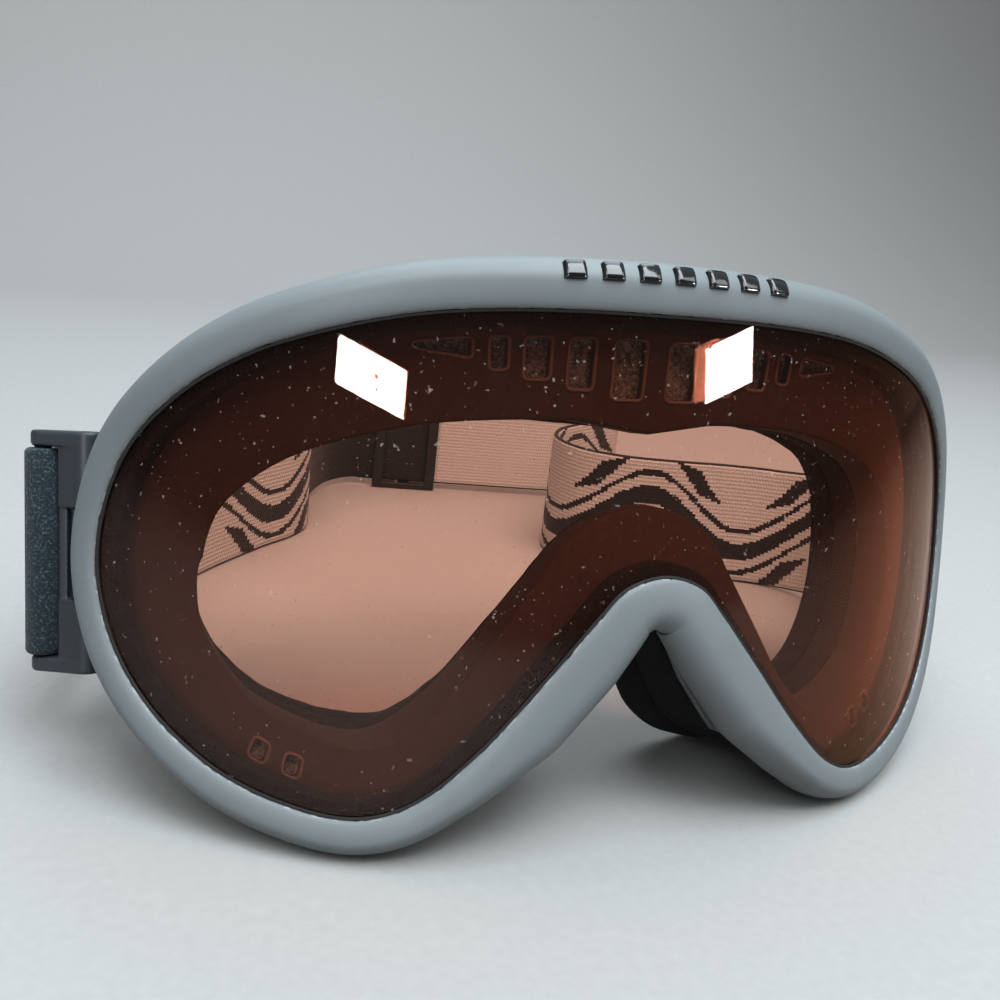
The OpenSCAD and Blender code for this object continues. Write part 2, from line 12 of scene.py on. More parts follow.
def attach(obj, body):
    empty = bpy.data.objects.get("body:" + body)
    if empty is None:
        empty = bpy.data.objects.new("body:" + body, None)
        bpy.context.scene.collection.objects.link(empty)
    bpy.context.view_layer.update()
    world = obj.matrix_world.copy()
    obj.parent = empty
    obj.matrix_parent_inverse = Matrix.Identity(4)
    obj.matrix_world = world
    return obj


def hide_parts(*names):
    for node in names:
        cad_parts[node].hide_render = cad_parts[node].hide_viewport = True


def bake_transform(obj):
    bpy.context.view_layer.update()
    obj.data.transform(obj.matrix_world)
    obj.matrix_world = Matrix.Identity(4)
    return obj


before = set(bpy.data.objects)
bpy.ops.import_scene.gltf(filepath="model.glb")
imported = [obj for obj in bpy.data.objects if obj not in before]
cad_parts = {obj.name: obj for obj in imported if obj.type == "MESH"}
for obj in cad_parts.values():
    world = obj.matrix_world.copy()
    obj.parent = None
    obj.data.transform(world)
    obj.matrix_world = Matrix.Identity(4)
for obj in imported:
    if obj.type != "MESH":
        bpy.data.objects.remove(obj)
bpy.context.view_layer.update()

# ---- sizes, as in the part's source
LENS_R, HALF_ARC, CROWN, DROP, SPREAD = 130.0, 95.0, 44.5, 38.3, 48.5
OUTER_T, LENS_GAP, INNER_T, SPACER_W = 1.3, 2.6, 1.0, 3.0
RIM_BROW, RIM_NOSE, RIM_TEMPLE, RIM_CHEEK = 8.4, 10.8, 6.2, 6.6
RIM_DEPTH, RIM_INNER, LIP = 9.6, 12.6, 1.0
PLATE_T, PLATE_SLOPE, WALL_T, FLANGE_T = 1.8, 2.5, 1.6, 1.8
PLATE_BROW, PLATE_TEMPLE, PLATE_CHEEK, PLATE_NOSE = 19.0, 18.0, 10.0, 12.0
WALL_BROW, WALL_TEMPLE, WALL_CHEEK, WALL_NOSE = 6.0, 7.6, 8.4, 2.4
FLANGE_NOSE, VENT_INSET, VENT_H, VENT_FOAM_T = 7.0, 4.8, 9.6, 3.0
FIRM_T, SOFT_T, FLEECE_T = 8.0, 8.0, 1.5
PIN_D, BARREL_D, ARM_REACH, BAR_D, KNUCKLE_H = 2.0, 5.2, 8.0, 2.6, 15.4
STRAP_W, STRAP_T, LOOP_L = 36.0, 1.5, 16.0
SLIDER_L, SLIDER_TRAVEL = 22.0, 20.0
REST_LEAN, LIFT = math.radians(12.0), 45.8897
GROOVE, GASKET_GAP = 0.25, 0.12
PLATE_D = OUTER_T + LENS_GAP + INNER_T + 0.2
RIM_FRONT, LIP_T = 1.6, 0.35
BROW_END, BROW_DROP = 47.0, 2.5
FOAM_OVERHANG, FIRM_DRAW, SOFT_DRAW, FOAM_SEAT = 0.6, 0.3, 0.8, 0.3


def lookup(rows, key):
    return float(np.interp(key, [r[0] for r in rows], [r[1] for r in rows]))


def eased(rows, key, reach=0.6):
    """lookup with the corners of the table rounded."""
    return sum(lookup(rows, key + reach * k / 4) for k in range(-4, 5)) / 9


# ---- edge of the lens
def brow_z(u):
    return CROWN - BROW_DROP * (abs(u) / BROW_END) ** 3.2


# the edge's points from the brow to the nose, as shares of the sizes above
SIDE = [(BROW_END, brow_z(BROW_END))]
for across, up, shares in (
    (HALF_ARC, CROWN, ((0.695, 0.82), (0.845, 0.64), (0.95, 0.4), (1, 0.07))),
    (HALF_ARC, DROP, ((0.975, -0.28), (0.895, -0.58), (0.77, -0.82), (0.635, -0.955))),
    (SPREAD, DROP, ((1, -1), (0.79, -0.91), (0.585, -0.685), (0.39, -0.405))),
    (SPREAD, DROP, ((0.215, -0.145), (0.125, -0.028))),
):
    SIDE += [(u * across, z * up) for u, z in shares]
SIDE.append((0.0, 0.6))
LAST_KEY = 1.0 + len(SIDE)


BEFORE_SIDE = 44.0
SIDE_AND_ENDS = [np.array(p) for p in (
    (BEFORE_SIDE, brow_z(BEFORE_SIDE)), *SIDE, (-SIDE[-2][0], SIDE[-2][1]),
)]


def curve(a, b, c, d, t):
    """Catmull-Rom point between b and c."""
    bend, twist = 2 * a - 5 * b + 4 * c - d, 3 * b - a - 3 * c + d
    return 0.5 * (2 * b + (c - a) * t + bend * t * t + twist * t**3)


EASE_FROM, EASE_TO = 1.55, 2.55


def plain_edge(key):
    if key <= 2:
        u = key * BROW_END / 2
        return np.array((u, brow_z(u)))
    i = min(int(key - 2), len(SIDE) - 2)
    return curve(*SIDE_AND_ENDS[i:i + 4], key - 2 - i)


def slope_at(key):
    v = plain_edge(key + 0.02) - plain_edge(key - 0.02)
    return v[1] / v[0]


def half_edge(key):
    """The edge from the brow to the nose, eased where the brow meets the side."""
    if not EASE_FROM < key < EASE_TO:
        return plain_edge(key)
    a, b, t = plain_edge(EASE_FROM), plain_edge(EASE_TO), (key - EASE_FROM) / (EASE_TO - EASE_FROM)
    run = b[0] - a[0]
    m0, m1 = slope_at(EASE_FROM) * run, slope_at(EASE_TO) * run
    z = (2 * t**3 - 3 * t**2 + 1) * a[1] + (t**3 - 2 * t**2 + t) * m0
    z += (3 * t**2 - 2 * t**3) * b[1] + (t**3 - t**2) * m1
    return np.array((a[0] + run * t, z))


def edge(s):
    """Place (u, z) on the whole edge: s runs from 0 at the brow to 17 at the nose and on to 34."""
    s = s % (2 * LAST_KEY)
    if s <= LAST_KEY:
        return half_edge(s)
    p = half_edge(2 * LAST_KEY - s)
    return np.array((-p[0], p[1]))


def station(s):
    """[key, u, z, normal u, normal z] of the edge at s."""
    v = edge(s + 0.09) - edge(s - 0.09)
    v = v / np.linalg.norm(v)
    p = edge(s)
    k = s % (2 * LAST_KEY)
    return (min(k, 2 * LAST_KEY - k), p[0], p[1], -v[1], v[0])


HALF_S = np.concatenate([np.linspace(0, 2, 51)[:-1], np.linspace(2, LAST_KEY, 226)])
RING_S = np.concatenate([HALF_S, (2 * LAST_KEY - HALF_S[1:-1])[::-1]])
RING = [station(s) for s in RING_S]


def at_depth(u, z, d):
    """Point (u, z) of the unrolled lens at depth d behind its face, in the goggles' own frame."""
    across = min(d, PLATE_D)
    r, a = LENS_R - across, u / LENS_R
    return np.array((r * math.sin(a), LENS_R - r * math.cos(a) + d - across, z))


def edge_point(st, n, d):
    return at_depth(st[1] + n * st[3], st[2] + n * st[4], d)


def posed(p):
    """From the goggles' own frame to the row frame, leaning back on the table."""
    c, s = math.cos(REST_LEAN), math.sin(REST_LEAN)
    return np.array((p[0], p[1] * c + p[2] * s, -p[1] * s + p[2] * c + LIFT))


# ---- sizes that change round the edge
RIM_ROWS = [
    (0, RIM_BROW), (2, RIM_BROW - 0.4), (4.5, (RIM_BROW + 2 * RIM_TEMPLE) / 3), (6, RIM_TEMPLE),
    (10.5, RIM_CHEEK), (12.2, RIM_CHEEK + 0.3), (13, (RIM_CHEEK + RIM_NOSE) / 2),
    (13.5, RIM_NOSE - 0.5), (14.5, RIM_NOSE - 0.3), (15.25, RIM_NOSE - 1), (16, RIM_NOSE - 1.4),
    (16.6, RIM_NOSE - 1.72), (17, RIM_NOSE - 1.8),
]
RIM_DEEP_ROWS = [(10.5, RIM_DEPTH), (12, RIM_INNER), (13, RIM_INNER), (14.5, RIM_DEPTH)]
PLATE_ROWS = [
    (0, PLATE_BROW + 1), (0.6, PLATE_BROW - 1), (2, PLATE_BROW - 1), (6, PLATE_TEMPLE),
    (9, PLATE_CHEEK + 1), (11, PLATE_CHEEK), (13, PLATE_CHEEK - 1.5), (15.5, PLATE_NOSE - 1),
    (17, PLATE_NOSE),
]
WALL_ROWS = [
    (0, WALL_BROW), (6, WALL_TEMPLE), (11, WALL_CHEEK), (13, WALL_CHEEK), (15.5, WALL_NOSE + 1),
    (17, WALL_NOSE),
]
VENT_LOW_ROWS = [
    (0.36, VENT_H), (0.4, VENT_H - 1.4), (0.72, VENT_H - 1.4), (0.78, VENT_H - 2.9),
    (1.05, VENT_H - 2.9), (1.1, VENT_H - 4.4), (1.3, VENT_H - 4.4), (1.38, 3.4), (1.88, 0.8), (2, 0.8),
    (8, 3.4), (10.5, 3.4), (12, 0.8),
]
VENT_TOP_ROWS = [(2, VENT_INSET), (8, 3.0)]


def plate_front(key, n):
    return PLATE_D - PLATE_SLOPE * n / lookup(PLATE_ROWS, key)


def plate_back(key, n):
    return plate_front(key, n) + PLATE_T


def flange_depth(key):
    return plate_back(key, -lookup(PLATE_ROWS, key)) + lookup(WALL_ROWS, key)


def rim_point(key, a, proud=0.0):
    h, deep, lip = lookup(RIM_ROWS, key), lookup(RIM_DEEP_ROWS, key), GROOVE + LIP_T
    rise = RIM_FRONT - lip if a < -90 else deep / 2
    c, s = math.cos(math.radians(a)), math.sin(math.radians(a))
    return (h / 2 - LIP + (h / 2 + proud) * c, rise - RIM_FRONT + (rise + proud) * s)


CHEEK_KEY = 11
foam_low = posed(edge_point(station(CHEEK_KEY), 0, flange_depth(CHEEK_KEY) + FIRM_T + SOFT_T))[2]
CHEEK_EDGE = foam_low / math.cos(REST_LEAN) - FOAM_OVERHANG + SOFT_DRAW - FOAM_SEAT
FLANGE_ROWS = [
    (0, -5), (4, -4), (6, -2.5), (10, CHEEK_EDGE), (11.5, CHEEK_EDGE), (12, CHEEK_EDGE + 1.6),
    (13, FLANGE_NOSE), (14, FLANGE_NOSE), (15.5, FLANGE_NOSE - 3), (17, FLANGE_NOSE - 5),
]


# ---- making meshes
def unit(v):
    return v / max(np.linalg.norm(v), 1e-9)


def softened(points, radius, count=4, closed=True):
    """The outline with each corner cut back by up to its radius and rounded. Distances are
    measured on the first two numbers of each point."""
    out, n = [], len(points)
    for i, b in enumerate(points):
        b = np.array(b, float)
        if not closed and i in (0, n - 1):
            out.append(b)
            continue
        a, c = np.array(points[i - 1], float), np.array(points[(i + 1) % n], float)
        r = radius[i] if isinstance(radius, (list, tuple)) else radius
        if r <= 0:
            out.append(b)
            continue
        ab, cb = np.linalg.norm((a - b)[:2]), np.linalg.norm((c - b)[:2])
        start = b + (a - b) * min(r, 0.45 * ab) / max(ab, 1e-9)
        end = b + (c - b) * min(r, 0.45 * cb) / max(cb, 1e-9)
        for k in range(count):
            t = k / (count - 1)
            out.append((1 - t) ** 2 * start + 2 * t * (1 - t) * b + t * t * end)
    return out


def linked(name, data):
    """A new object of the scene with that data."""
    obj = bpy.data.objects.new(name, data)
    bpy.context.scene.collection.objects.link(obj)
    return obj


def shade(mesh, angle):
    """Smooth shading, with the edges sharper than angle degrees kept sharp."""
    mesh.shade_smooth()
    mesh.set_sharp_from_angle(angle=math.radians(angle))


def new_object(name, points, faces, smooth=35.0):
    """A mesh object from points in millimetres in the row frame."""
    mesh = bpy.data.meshes.new(name)
    mesh.from_pydata([tuple(float(x) * 0.001 for x in p) for p in points], [], faces)
    mesh.validate()
    mesh.update()
    if smooth is not None:
        shade(mesh, smooth)
    return linked(name, mesh)


def ring_faces(rows, m, closed_rows=True):
    faces, last = [], rows if closed_rows else rows - 1
    for i in range(last):
        k = (i + 1) % rows
        for j in range(m):
            q = (j + 1) % m
            faces.append((i * m + j, i * m + q, k * m + q, k * m + j))
    if not closed_rows:
        faces.append(tuple(range(m - 1, -1, -1)))
        faces.append(tuple((rows - 1) * m + j for j in range(m)))
    return faces


def solid(name, points, faces, smooth=35.0):
    """A closed mesh with its faces turned to point out of it."""
    obj = new_object(name, points, faces, smooth)
    obj.data.calc_loop_triangles()
    co = np.array([v.co for v in obj.data.vertices])
    volume = 0.0
    for t in obj.data.loop_triangles:
        a, b, c = (co[i] for i in t.vertices)
        volume += float(np.dot(a, np.cross(b, c)))
    if volume < 0:
        obj.data.flip_normals()
    return obj


def edge_ring(name, section, smooth=35.0, s_list=None):
    """A ring all round the edge, or a strip along s_list. section(key, s) gives its (n, d) points."""
    whole = s_list is None
    stations = [(st, s) for st, s in zip(RING, RING_S)] if whole else [(station(s), s) for s in s_list]
    rows = [(st, section(st[0], s)) for st, s in stations]
    points = [posed(edge_point(st, q[0], q[1])) for st, row in rows for q in row]
    return solid(name, points, ring_faces(len(rows), len(rows[0][1]), whole), smooth)


def applied(obj, *modifiers):
    """obj with modifiers, given as (kind, settings), applied to its mesh."""
    for kind, settings in modifiers:
        modifier = obj.modifiers.new(kind, kind)
        for key, value in settings.items():
            setattr(modifier, key, value)
    dg = bpy.context.evaluated_depsgraph_get()
    mesh = bpy.data.meshes.new_from_object(obj.evaluated_get(dg))
    obj.modifiers.clear()
    old = obj.data
    obj.data = mesh
    bpy.data.meshes.remove(old)
    return obj


def cut_by(obj, tool, angle):
    """obj without what tool holds."""
    applied(obj, ("BOOLEAN", {"operation": "DIFFERENCE", "solver": "EXACT", "object": tool}))
    bpy.data.objects.remove(tool)
    shade(obj.data, angle)


def joined(name, objects, smooth=35.0):
    """One object from the meshes of several."""
    points, faces = [], []
    for o in objects:
        base = len(points)
        points += [tuple(v.co * 1000) for v in o.data.vertices]
        faces += [tuple(base + i for i in p.vertices) for p in o.data.polygons]
        bpy.data.objects.remove(o)
    return new_object(name, points, faces, smooth)


def fused(obj, voxel, rounds):
    """Overlapping closed shells made one skin, with their edges softened."""
    skin = {"mode": "VOXEL", "voxel_size": voxel * 0.001, "use_smooth_shade": True}
    return applied(obj, ("REMESH", skin), ("SMOOTH", {"factor": 0.5, "iterations": rounds}))


# ---- materials
def srgb(*parts):
    """Linear colour of an sRGB triple of 0 to 255."""
    linear = (c / 255 / 12.92 if c <= 10 else ((c / 255 + 0.055) / 1.055) ** 2.4 for c in parts)
    return tuple(linear) + (1.0,)


def math_node(operation):
    """A method that adds a Math node to what it is called on."""
    return lambda value, *others: value.nodes.math(operation, value, *others)


class Value:
    """An output of a node, which sums can be written with."""

    def __init__(self, nodes, socket):
        self.nodes, self.socket = nodes, socket

    def __rsub__(self, other):
        return self.nodes.math("SUBTRACT", other, self)

    __add__, __sub__, __mul__ = map(math_node, ("ADD", "SUBTRACT", "MULTIPLY"))
    __truediv__, __mod__, __pow__ = map(math_node, ("DIVIDE", "MODULO", "POWER"))
    __lt__, __gt__, __abs__ = map(math_node, ("LESS_THAN", "GREATER_THAN", "ABSOLUTE"))
    most, whole, fraction, sine, snap = map(math_node, ("MAXIMUM", "FLOOR", "FRACT", "SINE", "SNAP"))


class Nodes:
    """The node tree of a material or world, and short ways to add to it."""

    def __init__(self, owner, shader="Principled BSDF"):
        owner.use_nodes = True
        self.owner, self.tree = owner, owner.node_tree
        self.shader = self.tree.nodes[shader]

    def put(self, socket, value):
        if isinstance(value, Value):
            self.tree.links.new(value.socket, socket)
        else:
            socket.default_value = value

    def add(self, kind, inputs, out=0, **settings):
        """A new node's output. inputs gives a number, a colour or a Value for each socket named."""
        node = self.tree.nodes.new(kind)
        for key, value in settings.items():
            setattr(node, key, value)
        for key, value in inputs.items():
            self.put(node.inputs[key], value)
        return Value(self, node.outputs[out])

    def math(self, operation, *values):
        return self.add("ShaderNodeMath", dict(enumerate(values)), operation=operation)

    def place(self, kind="Object"):
        return self.add("ShaderNodeTexCoord", {}, kind)

    def attribute(self, name, out="Fac"):
        return self.add("ShaderNodeAttribute", {}, out, attribute_name=name)

    def parts(self, vector):
        split = self.add("ShaderNodeSeparateXYZ", {0: vector})
        return [Value(self, socket) for socket in split.socket.node.outputs]

    def noise(self, place, scale, detail=4.0, rough=0.55, distortion=0.0):
        return self.add("ShaderNodeTexNoise", {
            "Vector": place, "Scale": scale, "Detail": detail, "Roughness": rough, "Distortion": distortion,
        }, "Fac")

    def ramp(self, fac, stops):
        colours = self.add("ShaderNodeValToRGB", {"Fac": fac}, "Color")
        elements = colours.socket.node.color_ramp.elements
        for element, (position, colour) in zip(elements, stops):
            element.position = position
            element.color = colour if isinstance(colour, tuple) else (colour, colour, colour, 1)
        return colours

    def mix(self, fac, a, b):
        return self.add("ShaderNodeMix", {0: fac, 6: a, 7: b}, 2, data_type="RGBA")

    def bump(self, height, strength, distance):
        return self.add("ShaderNodeBump", {"Height": height, "Strength": strength, "Distance": distance})

    def set(self, **values):
        for key, value in values.items():
            self.put(self.shader.inputs[key.replace("_", " ")], value)
        return self.owner


def surface(name):
    return Nodes(bpy.data.materials.new(name))


def moulded(name, colour, dark, rough, grain=900.0, grain_depth=0.00004, coat=0.0, inside=None):
    """A moulded rubber or plastic: faint smudges, fine grain and uneven gloss. The last argument,
    if given, is a colour of painted shade, put where the mesh's attribute of the same name is 1."""
    n = surface(name)
    place = n.place()
    cloud = n.noise(place, 38.0, 5.0, 0.6, 0.4)
    fine = n.noise(place, grain, 3.0, 0.6)
    specks = n.noise(place, 520.0, 2.0, 0.5)
    paler = tuple(min(1.0, c * 1.4) for c in colour[:3]) + (1,)
    tone = n.mix(n.ramp(cloud, [(0.34, 0.0), (0.82, 0.35)]), colour, dark)
    tone = n.mix(n.ramp(specks, [(0.70, 0.0), (0.76, 0.12)]), tone, paler)
    gloss = n.add("ShaderNodeMapRange", {
        "Value": cloud, "From Min": 0.35, "From Max": 0.7, "To Min": rough - 0.06, "To Max": rough + 0.1,
    })
    if inside:
        # painted shade: the frame's faces behind the lens take a dark brown in place of their grey, and are
        # rougher
        painted_shade_mask = n.attribute("inside")
        tone = n.mix(painted_shade_mask, tone, n.mix(n.ramp(fine, [(0.35, 0.0), (0.7, 0.1)]), inside, dark))
        chips = n.ramp(n.noise(place, 560.0, 2.0, 0.6), [(0.52, 0.0), (0.60, 0.85)])
        tone = n.mix(n.attribute("lip") * chips, tone, srgb(186, 194, 197))
        gloss = gloss.most(painted_shade_mask * 0.85)
    return n.set(Base_Color=tone, Roughness=gloss, Coat_Weight=coat, Normal=n.bump(fine, 0.5, grain_depth))


# the frame's grey moulding, with painted shade of dark brown on its faces behind the lens
FRAME_GREY = moulded("frame_tpu", srgb(128, 136, 139), srgb(96, 100, 103), 0.5, inside=srgb(46, 36, 31))
# the beads round the vent windows are the frame's moulding in a copy without its painted shade, so they
# stand lighter than the shaded plate they sit on
BEAD_GREY = moulded("frame_tpu_bead", srgb(104, 104, 104), srgb(70, 70, 70), 0.35)
OUTRIGGER_GREY = moulded("outrigger_plastic", srgb(48, 54, 60), srgb(30, 34, 39), 0.42, grain=1400.0)
SLIDER_BLACK = moulded("slider_plastic", srgb(30, 30, 32), srgb(14, 14, 15), 0.35, grain=1400.0)
BROW_BLACK = moulded("brow_gloss", srgb(16, 17, 19), srgb(9, 9, 10), 0.14, 300.0, 0.00002, coat=0.6)
GASKET_BLACK = moulded("gasket_rubber", srgb(12, 11, 12), srgb(5, 5, 5), 0.75)


def brushed_pin():
    n = surface("pin_steel")
    drawn = n.add("ShaderNodeMapping", {"Vector": n.place(), "Scale": (900.0, 900.0, 40.0)})
    streak = n.noise(drawn, 4.0, 3.0)
    steel = n.ramp(streak, [(0.3, srgb(150, 150, 152)), (0.7, srgb(205, 205, 206))])
    return n.set(Base_Color=steel, Metallic=1.0, Roughness=0.32, Normal=n.bump(streak, 0.3, 0.00002))


def lens_glass(name, tint, face_on, back, dust, haze):
    """See-through tinted sheet: a tint on what lies behind, a mirror layer that grows towards a
    grazing view, and a little dust. back is how much of the mirror its far faces keep."""
    n = surface(name)
    place = n.place()
    facing = n.add("ShaderNodeLayerWeight", {"Blend": 0.5}, "Facing")
    far = n.add("ShaderNodeNewGeometry", {}, "Backfacing")
    mirror = (facing**5 * (0.9 - face_on) + face_on) * (1 - far * (1 - back))
    smear = n.noise(place, 24.0, 4.0, 0.6, 0.8)
    specks = n.ramp(n.noise(place, 1150.0, 1.0, 0.4), [(0.735, 0.0), (0.77, dust)])
    grit = specks * n.ramp(n.noise(place, 30.0, 2.0), [(0.35, 0.35), (0.65, 1.0)])
    film = grit.most(n.ramp(smear, [(0.4, haze * 0.3), (0.75, haze)]))
    dusty = film / (film + mirror + TINY)
    worn = grit / (grit + mirror + TINY)
    # the mirror layer is near neutral face-on and turns warmer towards the sides: painted reflection of warm
    # brown surroundings mirrored at a grazing view
    mirror_colour_painted_warm = n.ramp(facing, [(0.22, srgb(255, 240, 232)), (0.55, srgb(255, 186, 146))])
    n.set(Base_Color=n.mix(dusty, mirror_colour_painted_warm, srgb(196, 186, 180)), Metallic=1 - dusty,
          Roughness=n.ramp(smear, [(0.45, 0.002), (0.8, 0.008)]) + worn * 0.5)
    through = n.add("ShaderNodeBsdfTransparent", {"Color": tint})
    gloss = Value(n, n.shader.outputs[0])
    glass = n.add("ShaderNodeMixShader", {0: mirror + film, 1: through, 2: gloss})
    n.put(n.tree.nodes["Material Output"].inputs["Surface"], glass)
    return n.owner


TINY = 1e-4
OUTER_GLASS = lens_glass("lens_copper", (0.92, 0.69, 0.605, 1), 0.024, 0.1, 0.45, 0.004)
INNER_GLASS = lens_glass("lens_inner", (0.98, 0.94, 0.915, 1), 0.01, 0.1, 0.08, 0.0015)


def open_foam(name, dark, light, cell, mottle, bump=0.0004, glow=0.0):
    """Open-cell foam: strands round small dark cells, mottled over a few millimetres. glow is how
    much light passes into it."""
    n = surface(name)
    place = n.place()
    wobble = n.add("ShaderNodeTexNoise", {"Vector": place, "Scale": cell * 0.8}, "Color")
    reach = n.add("ShaderNodeVectorMath", {0: wobble, "Scale": 0.6 / cell}, operation="SCALE")
    bent = n.add("ShaderNodeVectorMath", {0: place, 1: reach}, operation="ADD")
    wall = n.add("ShaderNodeTexVoronoi", {"Vector": bent, "Scale": cell}, "Distance",
                 feature="DISTANCE_TO_EDGE")
    strand = n.ramp(wall, [(0.04, 1.0), (0.22, 0.0)])
    cloud = n.noise(place, cell * 0.7, 4.0, 0.65)
    amount = strand * n.ramp(cloud, [(0.36, 0.15), (0.62, 1.0)])
    amount = amount.most(n.ramp(cloud, [(0.46, 0.0), (0.70, mottle)]))
    n.set(Base_Color=n.mix(amount, dark, light), Roughness=0.92, Specular_IOR_Level=0.25,
          Normal=n.bump(strand + cloud, 0.8, bump))
    if glow:
        n.set(Subsurface_Weight=glow, Subsurface_Radius=(1.0, 1.0, 1.0), Subsurface_Scale=0.004)
    return n.owner


# the vent foam's pale blue-grey is partly its own grey-green and partly painted light: the bluish daylight
# that reaches it through the vents
VENT_FOAM = open_foam("vent_foam", srgb(84, 110, 118), srgb(206, 228, 233), 1700.0, 0.9, glow=0.9)
FIRM_FOAM = open_foam("firm_foam", srgb(4, 4, 4), srgb(17, 16, 16), 1500.0, 0.3, 0.0002)
SOFT_FOAM = open_foam("soft_foam", srgb(3, 3, 3), srgb(13, 12, 12), 1900.0, 0.3, 0.00015)
SPACER_FOAM = open_foam("spacer_foam", srgb(14, 12, 11), srgb(34, 30, 28), 1700.0, 0.3, 0.0001)


def fleece():
    n = surface("fleece")
    place = n.place()
    nap = n.noise(place, 1500.0, 5.0, 0.75, 1.2)
    tuft = n.noise(place, 240.0, 3.0, 0.6, 0.6)
    return n.set(Base_Color=n.ramp(nap, [(0.35, srgb(4, 4, 4)), (0.75, srgb(16, 16, 17))]),
                 Roughness=0.95, Sheen_Weight=0.04, Sheen_Roughness=0.6, Specular_IOR_Level=0.15,
                 Normal=n.bump(nap + tuft * 0.8, 0.7, 0.00035))


FLEECE = fleece()


def weave_height(along, across, pitch=0.9, rib=1.15):
    """Height of a woven face: courses that step from one rib to the next."""
    course = abs((along / pitch + (across / rib).whole() % 2.0 * 0.5).fraction() - 0.5)
    ridge = abs((across / rib).fraction() - 0.5)
    return 1.0 - (course + ridge * 0.7)


# the woven design, in millimetres
STEP_ALONG, STEP_ACROSS, SELVEDGE = 1.0, 0.7, 0.55
WAVE_L, WAVE_H, WAVE_MIDDLE = 58.0, 8.0, 17.0
BAND_HALF, LINE_OFF, LINE_HALF = 2.7, 6.6, 0.9
LOZENGE_PITCH, LOZENGE_OFF, LOZENGE_L, LOZENGE_W = 29.0, 12.6, 8.0, 3.4


def strap_webbing(designs, dark):
    """White elastic webbing with a black woven design of waves and lozenges. designs are the
    stretches along it, in millimetres, that carry the design; dark is the plain black one."""
    n = surface("strap_webbing")
    along, across, side = n.parts(n.attribute("strap_place", "Vector"))

    def within(stretch):
        return (along > stretch[0]) * (along < stretch[1])

    # the design steps with the weave
    s, t = along.snap(STEP_ALONG), across.snap(STEP_ACROSS)
    off = abs(t - ((s * (2 * math.pi / WAVE_L)).sine() * WAVE_H + WAVE_MIDDLE))
    band, line = off < BAND_HALF, abs(off - LINE_OFF) < LINE_HALF
    cell = ((s + LOZENGE_PITCH / 2) / LOZENGE_PITCH).fraction() * LOZENGE_PITCH - LOZENGE_PITCH / 2
    lozenge = abs(cell) / LOZENGE_L + abs(off - LOZENGE_OFF) / LOZENGE_W < 1.0
    design = band.most(line).most(lozenge)
    shown, dark = within(designs[0]).most(within(designs[1])), within(dark)
    front = (design * shown).most(dark)
    reverse = (1.0 - shown * (1.0 - design)) * shown.most(dark)
    behind = side < 0.0
    black = front * (1.0 - behind) + reverse * behind
    black = black.most(abs(across - STRAP_W / 2) > STRAP_W / 2 - SELVEDGE)
    height = weave_height(along, across)
    fibre = n.noise(n.place(), 1400.0, 3.0)
    # painted shade: the white and the ink are darkened in the weave's low valleys
    valley_shade = n.ramp(height, [(0.2, 0.30), (0.75, 0.0)])
    white = n.mix(valley_shade, n.mix(fibre, srgb(230, 228, 224), srgb(247, 246, 243)), srgb(150, 146, 140))
    ink = n.mix(valley_shade, n.mix(fibre, srgb(18, 18, 20), srgb(34, 34, 37)), srgb(6, 6, 7))
    return n.set(Base_Color=n.mix(black, white, ink), Roughness=0.85, Sheen_Weight=0.15,
                 Normal=n.bump(height + fibre * 0.35, 0.7, 0.0003))


def loop_webbing():
    n = surface("loop_webbing")
    along, across, _ = n.parts(n.attribute("strap_place", "Vector"))
    place = n.place()
    height = weave_height(along, across, 0.7, 0.6)
    fuzz = n.noise(place, 1500.0, 5.0, 0.8, 1.0)
    fleck = n.ramp(n.noise(place, 2100.0, 3.0, 0.75), [(0.54, 0.0), (0.66, 0.6)])
    # the webbing's own dark teal, with painted shade: darker in the weave's low valleys and lighter on its
    # ridges
    base = n.ramp(height, [(0.25, srgb(6, 19, 26)), (0.8, srgb(21, 43, 54))])
    return n.set(Base_Color=n.mix(fleck, base, srgb(112, 138, 144)), Roughness=0.93, Sheen_Weight=0.2,
                 Sheen_Roughness=0.5, Normal=n.bump(height * 0.5 + fuzz, 0.7, 0.00025))


def thread():
    n = surface("thread")
    twist = n.noise(n.place(), 2200.0, 2.0)
    return n.set(Base_Color=n.ramp(twist, [(0.3, srgb(8, 8, 9)), (0.7, srgb(36, 38, 40))]),
                 Roughness=0.7, Normal=n.bump(twist, 0.6, 0.0001))


LOOP_WEBBING = loop_webbing()
THREAD = thread()


def dress(obj, mat, body=None, replaces=()):
    obj.data.materials.clear()
    obj.data.materials.append(mat)
    if replaces:
        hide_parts(*replaces)
    if body:
        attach(obj, body)
    return obj


